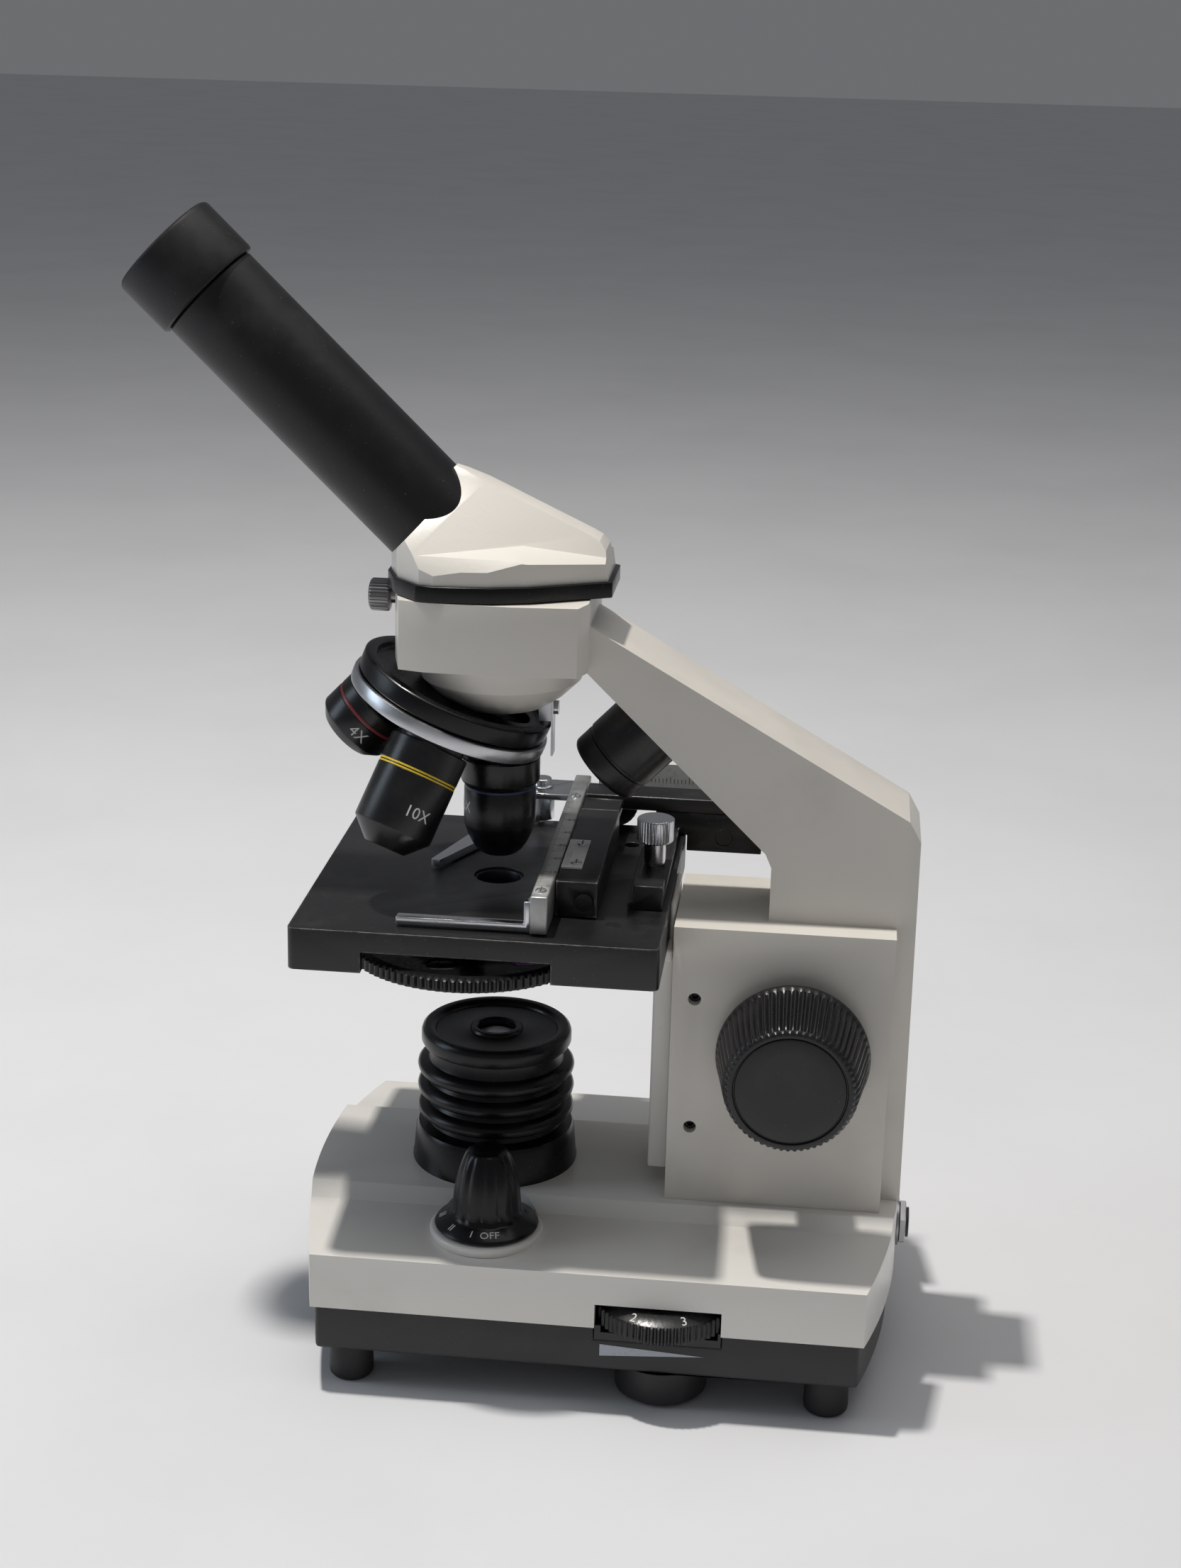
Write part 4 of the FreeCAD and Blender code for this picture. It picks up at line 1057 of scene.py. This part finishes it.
@dataclass
class LowerLamp(SubAssembly):
    """The finned lamp under the stage."""

    foot: float = 41.8
    cap_low: float = 72.8

    def build(self) -> None:
        """Make the lamp's housing, cap and lens."""
        self.housing()
        self.cap()
        self.paint({"lamp_lens": Finish.FROST, "lamp_led": Finish.EMITTER})

    def housing(self) -> None:
        """Turn the housing with its rounded fins."""
        profile = [(12.2, 0.0), (21.1, 0.0), (21.1, 0.5), (20.9, 1.2), (20.3, 8.4), (19.7, 9.6), (17.2, 10.4)]
        for step in range(3):
            low = 12.2 + step * 5.7
            profile += [
                (16.7, low - 0.5), (17.4, low), (19.0, low + 0.35), (19.8, low + 1.1), (20.0, low + 1.9),
                (19.8, low + 2.7), (19.0, low + 3.5), (17.4, low + 3.9),
            ]
        profile += [(16.7, 29.4), (16.7, 30.9), (12.2, 30.9), (12.2, 0.0)]
        lamp = Bench.turn("lamp_fins", profile, place(0, 0, self.foot), sides=96)
        self.add(lamp, "stand", Finish.GLOSS, "black_plastic", ["lamp_housing"])

    def cap(self) -> None:
        """Turn the dished cap that holds the lens."""
        profile = [
            (5.5, 0), (17.6, 0), (18.6, 0.4), (19.1, 1.3), (19.1, 3.4), (18.8, 4.3), (18.1, 4.9),
            (17.2, 5.0), (16.2, 4.8), (15.5, 4.3), (15.2, 3.7), (14.6, 3.5), (7.4, 3.6), (6.8, 3.8),
            (6.6, 4.3), (6.2, 4.6), (5.2, 4.6), (4.8, 4.2), (4.7, 3.0), (5.5, 2.6), (5.5, 0),
        ]
        cap = Bench.turn("lamp_top", profile, place(0, 0, self.cap_low), sides=96)
        self.add(cap, "stand", Finish.GLOSS, "black_plastic", ["lamp_cap"])


@dataclass
class Arm(SubAssembly):
    """The arm casting with the focus drive and the upper lamp."""

    knob_y: float = 75.7
    knob_z: float = 84.2
    knob_in: float = 23.6
    ribs: int = 60

    def build(self) -> None:
        """Make the arm, its knobs, screws and lamp."""
        # The arm's enamel is the cream paint made darker: painted shade, the same paint as the base.
        self.add(Bench.softened("arm_casting", "arm", 0.0017, 4, 26.0), "stand", Finish.IVORY, "grey_paint")
        for side, node in ((1, "focus_knob_right"), (-1, "focus_knob_left")):
            self.focus_knob(side, node)
        self.upper_lamp()
        self.block_screws()
        self.paint(
            {
                "focus_shaft": Finish.STEEL,
                "upper_lamp_lens": Finish.LENS,
                "upper_lamp_led": Finish.EMITTER,
                "focus_rack": Finish.BRASS,
            }
        )

    def focus_knob(self, side: int, node: str) -> None:
        """Turn a ribbed focus knob with its smooth cap.

        Args:
            side: 1 on the near side, -1 on the far side.
            node: The CAD node that it stands for.
        """
        profile = [
            (3.0, -3.4), (6.8, -3.4), (7.0, -0.1), (18.2, 0.0), (18.7, 0.35), (18.8, 0.9), (18.6, 1.6),
            (18.1, 2.4), (17.6, 5.0), (16.9, 10.0), (16.2, 15.0), (15.7, 18.6), (15.4, 20.3), (14.9, 20.9),
            (14.2, 21.1), (13.7, 21.05), (13.5, 20.5), (13.2, 20.4), (9.0, 20.55), (4.0, 20.7), (0, 20.7),
        ]
        per_rib = 6

        def shape(ring: int, corner: int) -> float:
            """Raise narrow ribs along the tapering grip."""
            if not 7 <= ring <= 12:
                return 0.0
            place_in_rib = corner % per_rib
            height = 0.50 if place_in_rib in (0, 1) else (-0.40 if place_in_rib in (3, 4) else 0.05)
            return height * (0.45 if ring in (7, 12) else 1.0)

        at = place(side * self.knob_in, self.knob_y, self.knob_z)
        name = "focus_grip_" + ("near" if side > 0 else "far")
        knob = Bench.turn(name, profile, at, Vector((side, 0, 0)), self.ribs * per_rib, shape)
        self.add(knob, "focus", Finish.BLACK, "black_plastic", [node])
        cap = [(13.4, 20.3), (13.1, 20.75), (12.6, 20.9), (9.0, 21.02), (4.0, 21.08), (0, 21.1)]
        shield = Bench.turn(name + "_cap", [(0, 20.2), (13.4, 20.2)] + cap, at, Vector((side, 0, 0)), 96)
        self.add(shield, "focus", Finish.CAP, "black_plastic")

    def block_screws(self) -> None:
        """Sink two dark grub screws into the block's side."""
        screws = []
        for height in (61.8, 95.8):
            profile = [(0, -4.5), (1.5, -4.5), (1.5, -0.3), (1.2, 0), (0.8, 0), (0.7, -1.2), (0, -1.2)]
            at = place(17.4, 51.1, height)
            screws.append(Bench.turn("grub", profile, at, Vector((1, 0, 0)), 24))
        self.add(
            Bench.joined(screws, "grub_screws"),
            "stand", Finish.BLACK_STEEL, "black_steel", ["tension_screws"]
        )

    def upper_lamp(self) -> None:
        """Turn the lamp under the arm, with its grooved barrel."""
        lean = math.radians(44)
        back = Vector((0, math.sin(lean), math.cos(lean)))
        profile = [
            (8.1, 1.2), (8.3, 0.2), (9.2, 0.0), (9.6, 0.5), (9.7, 1.2), (9.7, 5.0), (9.3, 5.3), (9.3, 5.8),
            (9.85, 6.1), (9.9, 6.6), (9.9, 16.9), (0, 16.9), (0, 12.1), (8.1, 12.1), (8.1, 1.2),
        ]
        shell = Bench.turn("upper_lamp_barrel", profile, place(0, 25.4, 147.0), back, 72)
        self.add(shell, "stand", Finish.BLACK, "black_plastic", ["upper_lamp_shell"])


@dataclass
class Stage(SubAssembly):
    """The stage with its bracket and filter wheel."""

    top: float = 117.9
    hole: float = 6.2
    wheel: tuple[float, float] = (19.5, -4.0)
    wheel_radius: float = 30.0
    wheel_low: float = 105.6

    def build(self) -> None:
        """Make the stage's pieces."""
        plate = Bench.softened("stage_table", "stage_plate", 0.0006, 3)
        self.add(plate, "stage", Finish.STAGE, "black_metal")
        bracket = Bench.softened("stage_slide_bracket", "stage_bracket", 0.0009, 3)
        self.add(bracket, "stage", Finish.CREAM, "ivory_paint")
        self.hole_ring()
        self.table_screw()
        self.knurled_wheel()
        self.filters()
        self.paint({"wheel_screw": Finish.BLACK_STEEL})

    def hole_ring(self) -> None:
        """Turn the thin rim inside the stage's hole."""
        edge = self.hole
        profile = [
            (edge - 0.9, 0), (edge - 0.02, 0), (edge - 0.02, 3.4), (edge - 0.25, 3.7), (edge - 0.7, 3.6),
            (edge - 0.9, 3.2), (edge - 0.9, 0),
        ]
        ring = Bench.turn("light_ring", profile, place(0, 0, 113.6), sides=72)
        self.add(ring, "stage", Finish.BLACK_STEEL, "black_steel")

    def table_screw(self) -> None:
        """Make the small countersunk screw in the stage."""
        profile = [(0, -1.6), (0.9, -1.6), (1.9, -0.25), (1.95, 0.0), (1.5, 0.1), (0, 0.12)]
        screw = Bench.turn("table_screw", profile, place(30.6, 31.7, self.top), sides=32)
        self.add(screw, "stage", Finish.BLACK_STEEL, "black_steel")

    def filters(self) -> None:
        """Turn the four coloured filters and set them in the wheel."""
        ring, first = 19.9, math.radians(168.4)
        colours = (Finish.GREEN, Finish.AZURE, Finish.CLEAR, Finish.MAGENTA)
        profile = [(0, 0), (3.6, 0), (3.98, 0.15), (3.98, 1.05), (3.7, 1.2), (0, 1.2)]
        for number, finish in enumerate(colours, 1):
            angle = first + number * math.radians(60)
            across = self.wheel[0] + ring * math.cos(angle)
            along = self.wheel[1] + ring * math.sin(angle)
            glass = Bench.turn(f"filter_{number}", profile, place(across, along, 107.4), sides=48)
            stands_for = ["filter_glasses"] if number == 1 else []
            self.add(glass, "filter_disc", finish, "coloured_glass", stands_for)

    def knurled_wheel(self) -> None:
        """Cut the coarse knurl into the filter wheel's rim."""
        edge = self.wheel_radius
        count = 96
        profile = [
            (edge - 2.6, 0.1), (edge - 0.9, 0), (edge - 0.4, 0.3), (edge - 0.4, 3.0), (edge - 0.9, 3.5),
            (edge - 2.6, 3.6), (edge - 2.6, 0.1),
        ]

        def knurl(ring: int, corner: int) -> float:
            """Alternate ridge and groove."""
            return (0.4 if corner % 4 in (0, 1) else -0.35) if ring in (2, 3) else 0.0

        rim = Bench.turn(
            "wheel_rim", profile, place(*self.wheel, self.wheel_low), sides=count * 4, ribs=knurl
        )
        source = frame["nodes"]["filter_wheel"]
        web = source.copy()
        web.data = source.data.copy()
        web.parent = None
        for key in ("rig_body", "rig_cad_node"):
            del web[key]
        bpy.context.scene.collection.objects.link(web)
        pick(web)
        bpy.ops.object.mode_set(mode="EDIT")
        bpy.ops.mesh.select_all(action="SELECT")
        bpy.ops.mesh.remove_doubles(threshold=0.000003)
        bpy.ops.mesh.select_all(action="DESELECT")
        bpy.ops.object.mode_set(mode="OBJECT")
        centre = place(*self.wheel, 0)
        for corner in web.data.vertices:
            flat = Vector((corner.co.x - centre.x, corner.co.y - centre.y))
            corner.select = flat.length > (edge - 1.0) * MM
        bpy.ops.object.mode_set(mode="EDIT")
        bpy.ops.mesh.select_mode(type="VERT")
        bpy.ops.transform.resize(
            value=((edge - 1.6) / edge, (edge - 1.6) / edge, 0.9),
            center_override=(centre.x, centre.y, (self.wheel_low + 1.8) * MM),
        )
        bpy.ops.object.mode_set(mode="OBJECT")
        web.name = "wheel_web"
        pick(web)
        bpy.ops.object.shade_smooth_by_angle(angle=math.radians(32))
        self.add(web, "filter_disc", Finish.BLACK, "black_plastic", ["filter_wheel"])
        self.add(rim, "filter_disc", Finish.BLACK, "black_plastic")


@dataclass
class SlideHolder(SubAssembly):
    """The geared slide holder on the stage."""

    def build(self) -> None:
        """Make the holder's bars, fingers, knobs, scales and screws."""
        for name, node, body, finish, slot, bevel in (
            ("holder_frame", "holder_base", "stage", Finish.STAGE, "black_metal", 0.0005),
            ("holder_carriage", "carriage", "y_slide", Finish.STAGE, "black_metal", 0.0005),
            ("long_rail", "y_rail", "y_slide", Finish.STAGE, "aluminium", 0.0004),
            ("ruler_bar", "slide_bar", "x_slide", Finish.ALUMINIUM, "aluminium", 0.0004),
            ("near_finger", "fixed_finger", "x_slide", Finish.CHROME, "chrome", 0.0003),
            ("finger_plate", "finger_bracket", "x_slide", Finish.CHROME, "chrome", 0.0004),
            ("far_finger", "spring_finger", "finger", Finish.CHROME, "chrome", 0.0003),
        ):
            self.add(Bench.softened(name, node, bevel, 2), body, finish, slot)
        self.clamp()
        self.finger_nut()
        self.drive_knobs()
        self.bar_ticks()
        self.small_screws()
        self.paint({"scale_plates": Finish.SCALE})

    def clamp(self) -> None:
        """Turn the knurled clamp screw with its split pin."""
        profile = [
            (2.05, -6.0), (2.05, 0.3), (2.6, 0.5), (2.7, 1.4), (2.7, 6.3), (4.2, 6.4), (4.55, 6.7),
            (4.6, 7.0), (4.6, 12.0), (4.5, 12.3), (4.1, 12.5), (3.2, 12.45), (0, 12.45),
        ]

        def knurl(ring: int, corner: int) -> float:
            """Raise straight knurls on the head."""
            return (0.1 if corner % 4 < 2 else -0.22) if ring in (7, 8) else 0.0

        screw = Bench.turn("clamp_thumbscrew", profile, place(-8.0, 38.3, 120.2), sides=144, ribs=knurl)
        self.add(screw, "clamp", Finish.CHROME, "chrome", ["clamp_screw"])

    def finger_nut(self) -> None:
        """Turn the chrome nut that the far finger turns on."""
        profile = [
            (1.5, -7.5), (1.5, 1.65), (3.0, 1.7), (3.15, 2.0), (3.1, 2.4), (2.4, 2.5), (2.45, 3.2),
            (2.5, 3.7), (2.3, 3.9), (0, 3.9),
        ]
        nut = Bench.turn("finger_nut", profile, place(-46.0, 5.0, 125.6), sides=36)
        self.add(nut, "x_slide", Finish.CHROME, "chrome", ["finger_screw"])

    def drive_knobs(self) -> None:
        """Turn the two grooved drive knobs on the far side."""
        for name, node, body, y, z, inner in (
            ("x_drive_grip", "x_drive_knob", "x_drive", 24.2, 122.0, 27.7),
            ("y_drive_grip", "y_drive_knob", "y_drive", 54.0, 117.6, -39.6),
        ):
            length = inner + 49.0
            profile = [
                (2.2, -length), (2.2, 0), (5.4, 0), (6.1, 0.4), (6.2, 1.0), (6.2, 6.0), (6.0, 6.6),
                (5.3, 7.0), (4.4, 7.0), (4.1, 6.7), (0, 6.7),
            ]

            def grooves(ring: int, corner: int) -> float:
                """Press fine grooves into the rim."""
                return (0.08 if corner % 4 < 2 else -0.22) if ring in (4, 5) else 0.0

            knob = Bench.turn(name, profile, place(-49.0, y, z), Vector((-1, 0, 0)), 120, grooves)
            self.add(knob, body, Finish.BLACK, "black_plastic", [node])

    def bar_ticks(self) -> None:
        """Engrave the ruler, the short scale and the upright scale."""
        ticks = []
        for step in range(66):
            reach = 2.6 if step % 10 == 0 else (1.9 if step % 5 == 0 else 1.2)
            across = 33.0 - step
            ticks.append(((across, 12.95 + reach / 2, 127.71), (0.14, reach, 0.03)))
        self.add(self.strokes("ruler_ticks", ticks), "x_slide", Finish.DARK_INK, "black_steel")
        short = [((16.0 - step * 0.9, 18.5, 127.41), (0.12, 1.5, 0.03)) for step in range(11)]
        self.add(self.strokes("short_ticks", short), "y_slide", Finish.DARK_INK, "black_steel")
        tall = []
        for step in range(48):
            rise = 2.4 if step % 10 == 0 else (1.8 if step % 5 == 0 else 1.2)
            tall.append(((-47.18, 24.0 + step, 129.4 + rise / 2), (0.03, 0.16, rise)))
        self.add(self.strokes("upright_ticks", tall), "y_slide", Finish.DARK_INK, "black_steel")
        numbers = []
        for step in range(6):
            digit = Bench.lettering("digit", str(step * 10), 1.5, 0.03)
            Bench.stand_at(
                digit, place(33.0 - step * 10, 16.2, 127.72), Vector((0, 1, 0)), Vector((-1, 0, 0))
            )
            numbers.append(digit)
        self.add(Bench.joined(numbers, "ruler_numbers"), "x_slide", Finish.DARK_INK, "black_steel")

    def strokes(
        self, name: str, marks: Sequence[tuple[tuple[float, float, float], tuple[float, float, float]]]
    ) -> bpy.types.Object:
        """Make a row of thin strokes.

        Args:
            name: The piece's name.
            marks: Middle and size of each stroke, in millimetres.

        Returns:
            The joined strokes.
        """
        deselect()
        bpy.ops.mesh.primitive_cube_add(size=1.0)
        stroke = bpy.context.object
        moves = [
            Matrix.Translation(place(*middle)) @ Matrix.Diagonal((*(part * MM for part in size), 1.0))
            for middle, size in marks
        ]
        return Bench.copies(stroke, moves, name)

    def small_screws(self) -> None:
        """Make the slotted screws on the bar and on the short scale."""
        for name, body, spots in (
            ("bar_screws", "x_slide", ((36.5, 15.0, 127.7), (-37.0, 15.0, 127.7))),
            ("scale_screws", "y_slide", ((14.6, 20.9, 127.4), (0.4, 20.9, 127.4))),
        ):
            profile = [(0, -0.4), (1.35, -0.4), (1.4, 0.1), (1.2, 0.4), (0.7, 0.55), (0, 0.6)]
            first = Bench.turn("screw", profile, Vector((0, 0, 0)), sides=28)
            moves = [Matrix.Translation(place(*spot)) for spot in spots]
            heads = Bench.copies(first, moves, name)
            self.add(heads, body, Finish.SATIN, "chrome")
            slots = [((x, y, z + 0.58), (2.3, 0.36, 0.12)) for x, y, z in spots]
            self.add(self.strokes(name + "_slots", slots), body, Finish.DARK_INK, "black_steel")


# ---------------------------------------------------------------- optics


@dataclass
class Turret(SubAssembly):
    """The turret with its objectives."""

    apex: float = 192.5
    tilt: float = math.radians(22.0)
    centre: tuple[float, float, float] = (0.0, -13.49, 159.12)
    rim: float = 9.8
    neck: float = 8.3

    def build(self) -> None:
        """Make the turret's pieces."""
        self.rings()
        self.objectives()
        self.paint(
            {
                "turret_plate": Finish.SATIN,
                "turret_axle": Finish.SATIN,
                "objective_lenses": Finish.LENS,
                "click_spring": Finish.SATIN,
            }
        )

    def up(self) -> Vector:
        """Give the direction of the turret's axis."""
        return Vector((0, math.sin(self.tilt), math.cos(self.tilt)))

    def rings(self) -> None:
        """Turn the chrome grip ring and the black disc above it."""
        ring = [
            (24.02, 0.1), (24.9, 0.0), (25.3, 0.35), (25.4, 0.8), (25.4, 3.0), (25.25, 3.45), (24.8, 3.65),
            (24.02, 3.6), (24.02, 0.1),
        ]
        grip = Bench.turn("turret_grip", ring, place(*self.centre), self.up(), 120)
        self.add(grip, "turret", Finish.SATIN, "chrome", ["turret_ring"])
        self.add(
            Bench.softened("nosepiece_cover", "nosepiece_disc", 0.0005, 3),
            "stand", Finish.GLOSS, "black_metal"
        )

    def station(self, angle: float) -> tuple[Vector, Vector]:
        """Give a station's downward direction and its side direction.

        Args:
            angle: The station's angle round the turret, in degrees, 0 on the optical axis.

        Returns:
            The direction from the apex to the objective, and one at right angles to it.
        """
        spin = Matrix.Rotation(math.radians(angle), 3, self.up())
        down = spin @ Vector((0, 0, -1))
        return down, spin @ Vector((1, 0, 0))

    def objectives(self) -> None:
        """Turn the four turret pieces with their colour bands and numbers."""
        rim, neck = self.rim, self.neck
        shank = [(4.4, 39.05), (7.5, 39.05), (7.5, 40.6), (neck, 40.65), (neck, 43.0)]
        shapes: dict[str, tuple[float, list[tuple[float, float]]]] = {
            "objective_40x": (0.0, shank + [
                (rim - 0.3, 43.05), (rim, 43.4), (rim, 48.8), (rim - 0.25, 49.4), (rim - 0.9, 50.2),
                (rim - 1.0, 50.4), (rim - 1.0, 51.0), (rim - 0.9, 51.2), (rim - 0.9, 60.2),
                (rim - 1.1, 61.0), (rim - 1.9, 63.2), (rim - 2.9, 65.3), (rim - 4.1, 67.0), (4.8, 67.8),
                (4.3, 68.1), (3.0, 68.15), (2.8, 66.2), (2.8, 60.0),
            ]),
            "objective_10x": (-90.0, shank + [
                (rim - 0.3, 43.05), (rim, 43.4), (rim, 49.6), (rim - 0.15, 49.75), (rim - 0.15, 50.9),
                (rim, 51.05), (rim, 64.8), (rim - 0.25, 65.2), (5.3, 69.5), (5.0, 69.7), (3.6, 69.65),
                (3.3, 69.0), (3.2, 66.2), (3.2, 60.0),
            ]),
            "objective_4x": (180.0, shank + [
                (rim - 0.3, 43.05), (rim, 43.4), (rim, 46.2), (rim - 0.15, 46.35), (rim - 0.15, 47.4),
                (rim, 47.55), (rim, 52.3), (rim - 0.2, 52.7), (rim - 2.3, 54.9), (5.9, 55.0), (5.4, 54.6),
                (5.2, 52.3), (5.2, 47.0),
            ]),
        }
        apex = place(0, 0, self.apex)
        for node, (angle, profile) in shapes.items():
            down, _ = self.station(angle)
            barrel = Bench.turn(node + "_barrel", profile, apex, down, 96)
            self.add(barrel, "turret", Finish.LACQUER, "black_metal", [node])
        bands = (
            ("blue_band", 0.0, 50.35, 51.05, rim - 0.97, Finish.BLUE),
            ("yellow_band_upper", -90.0, 49.75, 50.2, rim - 0.04, Finish.YELLOW),
            ("yellow_band_lower", -90.0, 50.5, 50.9, rim - 0.04, Finish.YELLOW),
            ("red_band", 180.0, 46.4, 47.2, rim - 0.06, Finish.RED),
        )
        for name, angle, start, end, radius, finish in bands:
            down, _ = self.station(angle)
            profile = [
                (radius - 0.3, start), (radius - 0.05, start), (radius, start + 0.2), (radius, end - 0.2),
                (radius - 0.05, end), (radius - 0.3, end), (radius - 0.3, start),
            ]
            ring = Bench.turn(name, profile, apex, down, 96)
            self.add(ring, "turret", finish, "black_metal")
        numbers = (
            ("4X", 180.0, 50.2, rim, 12.0),
            ("10X", -90.0, 59.6, rim, 28.0),
            ("40X", 0.0, 55.5, rim - 0.9, -68.0),
        )
        for words, angle, distance, radius, face in numbers:
            self.number(words, angle, distance, radius, face)
        down, _ = self.station(90.0)
        plug = Bench.turn(
            "blank_cover",
            [
                (0, 39.05), (7.5, 39.05), (7.5, 40.6), (8.1, 40.65), (8.3, 41.0), (8.3, 42.0), (8.0, 42.4),
                (5.6, 42.4), (5.2, 42.0), (0, 42.0),
            ],
            apex, down, 64,
        )
        self.add(plug, "turret", Finish.BLACK, "black_plastic", ["blank_plug"])

    def number(self, words: str, angle: float, distance: float, radius: float, face: float) -> None:
        """Print a power on its barrel.

        Args:
            words: What it says.
            angle: The station's angle.
            distance: How far down the barrel it is.
            radius: The barrel's radius there.
            face: The angle round the barrel that it faces, from +X.
        """
        down, _ = self.station(angle)
        mark = Bench.lettering("power_" + words.lower(), words, 2.9, 0.04)
        Bench.roll(mark, (radius + 0.02) * MM)
        flat = Matrix.Rotation(math.radians(face), 3, "Z") @ Vector((1, 0, 0))
        out = (flat - down * flat.dot(down)).normalized()
        up = -down
        right = up.cross(out)
        turn = Matrix((right, up, out)).transposed().to_4x4()
        mark.matrix_world = Matrix.Translation(place(0, 0, self.apex) + down * distance * MM) @ turn
        Bench.settle(mark)
        self.add(mark, "turret", Finish.WHITE_INK, "scale_white")


@dataclass
class Head(SubAssembly):
    """The turning head with the eyepiece tube."""

    lean: float = math.radians(46.0)
    root: tuple[float, float, float] = (0.0, -18.2, 208.85)
    length: float = 73.0

    def build(self) -> None:
        """Make the head's pieces."""
        casting = Bench.softened("head_cover", "head_casting", 0.0012, 4, 16.0)
        # The head casting's enamel is the cream paint made darker: painted shade, the same paint as the base.
        self.add(casting, "head", Finish.IVORY, "ivory_paint")
        self.add(Bench.softened("head_skirt", "head_band", 0.0006, 3), "head", Finish.GLOSS, "black_plastic")
        self.tube()
        self.lock_screw()
        self.paint({"head_prism": Finish.LENS, "eyepiece_lenses": Finish.LENS})

    def along(self) -> Vector:
        """Give the direction of the eyepiece tube."""
        return Vector((0, -math.sin(self.lean), math.cos(self.lean)))

    def tube(self) -> None:
        """Turn the tube and the eyepiece."""
        root = place(*self.root)
        end = self.length
        profile = [
            (11.65, -9.0), (12.88, -9.0), (12.88, end - 0.5), (12.5, end - 0.05), (11.65, end),
            (11.65, -9.0),
        ]
        tube = Bench.turn("slanted_tube", profile, root, self.along(), 96)
        self.add(tube, "head", Finish.TUBE, "black_metal", ["eyepiece_tube"])
        rim = end + 15.4
        shell = [
            (9.7, end - 26.0), (11.55, end - 26.0), (11.55, end + 0.1), (13.6, end + 0.1),
            (14.1, end + 0.5), (14.2, end + 1.2), (14.2, rim - 1.2), (14.0, rim - 0.5), (13.4, rim),
            (10.4, rim), (9.6, rim - 0.3), (7.5, rim - 2.4), (7.2, rim - 2.8), (7.2, rim - 3.5),
            (9.7, rim - 3.6), (9.7, end - 26.0),
        ]
        eyepiece = Bench.turn("eyepiece_body", shell, root, self.along(), 96)
        self.add(eyepiece, "eyepiece", Finish.TUBE, "black_plastic", ["eyepiece_shell"])

    def lock_screw(self) -> None:
        """Turn the knurled screw that locks the head."""
        profile = [
            (0, 0), (1.95, 0.1), (1.98, 12.2), (3.0, 12.4), (3.7, 12.6), (3.8, 13.0), (3.8, 16.9),
            (3.65, 17.3), (3.1, 17.55), (0, 17.55),
        ]

        def knurl(ring: int, corner: int) -> float:
            """Raise straight knurls on the head."""
            return (0.18 if corner % 4 < 2 else -0.12) if ring in (5, 6) else 0.0

        screw = Bench.turn(
            "lock_thumbscrew", profile, place(0, -14.9, 188.35), Vector((0, -1, 0)), 112, knurl
        )
        self.add(screw, "lock", Finish.DARK_CHROME, "chrome", ["head_lock_screw"])


# ---------------------------------------------------------------- studio


@dataclass(frozen=True)
class Lamp:
    """A soft rectangular studio light."""

    name: str
    at: Colour
    aim: Colour
    size: tuple[float, float]
    power: float
    colour: Colour

    def hang(self) -> None:
        """Put the light in the scene."""
        data = bpy.data.lights.new(self.name, "AREA")
        data.shape = "RECTANGLE"
        data.size, data.size_y = self.size
        data.energy = self.power
        data.color = self.colour
        thing = bpy.data.objects.new(self.name, data)
        bpy.context.scene.collection.objects.link(thing)
        thing.location = self.at
        thing.rotation_euler = (Vector(self.aim) - Vector(self.at)).to_track_quat("-Z", "Y").to_euler()


@dataclass
class Studio:
    """The bench, the lights and the camera."""

    azimuth: float = 95.63
    elevation: float = 17.58
    roll: float = 1.46
    shift: tuple[float, float] = (22.1, -7.88)
    distance: float = 619.6
    lens: float = 76.73
    bench_size: float = 16.0
    lamps: tuple[Lamp, ...] = (
        Lamp("overhead", (-0.03, -0.22, 1.30), (0.0, 0.0, 0.0), (0.05, 0.05), 12.0, (1.0, 0.965, 0.915)),
        Lamp("ceiling", (-0.10, 0.25, 1.30), (0.0, 0.0, 0.1), (1.0, 1.0), 3.5, (1.0, 0.98, 0.95)),
        Lamp("window", (0.15, -1.05, 0.50), (0.0, 0.0, 0.16), (0.4, 0.7), 2.2, (0.74, 0.87, 1.0)),
    )

    def build(self) -> None:
        """Set up the studio."""
        self.surroundings()
        for lamp in self.lamps:
            lamp.hang()
        world = bpy.data.worlds.new("room")
        world.use_nodes = True
        world.node_tree.nodes["Background"].inputs[0].default_value = (0.93, 0.96, 1.0, 1)
        world.node_tree.nodes["Background"].inputs[1].default_value = 0.16
        bpy.context.scene.world = world
        self.camera()

    def surroundings(self) -> None:
        """Lay the bench, wide enough to be the background from every side."""
        deselect()
        bpy.ops.mesh.primitive_plane_add(size=self.bench_size)
        sheet = Bench.named("bench_top")
        dress(sheet, Finish.BENCH)

    def camera(self) -> None:
        """Stand the camera where the viewer is."""
        a, e, r = (math.radians(value) for value in (self.azimuth, self.elevation, self.roll))
        back = Vector((math.sin(a) * math.cos(e), -math.cos(a) * math.cos(e), math.sin(e)))
        level = Vector((math.cos(a), math.sin(a), 0.0))
        above = back.cross(level)
        right = level * math.cos(r) + above * math.sin(r)
        up = -level * math.sin(r) + above * math.cos(r)
        spot = place(0, 0, 150) + (right * self.shift[0] + up * self.shift[1] + back * self.distance) * MM
        data = bpy.data.cameras.new("viewer")
        data.sensor_fit = "HORIZONTAL"
        data.sensor_width = 36.0
        data.lens = self.lens
        thing = bpy.data.objects.new("viewer", data)
        bpy.context.scene.collection.objects.link(thing)
        thing.matrix_world = Matrix.Translation(spot) @ Matrix((right, up, back)).transposed().to_4x4()
        bpy.context.scene.camera = thing
        bpy.context.scene.view_settings.view_transform = "Standard"


def main() -> None:
    """Build the microscope and its studio."""
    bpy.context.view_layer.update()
    for assembly in (Base(), LowerLamp(), Arm(), Stage(), SlideHolder(), Turret(), Head()):
        LOG.info("building %s", type(assembly).__name__)
        assembly.build()
    Studio().build()


if __name__ == "__main__":
    main()
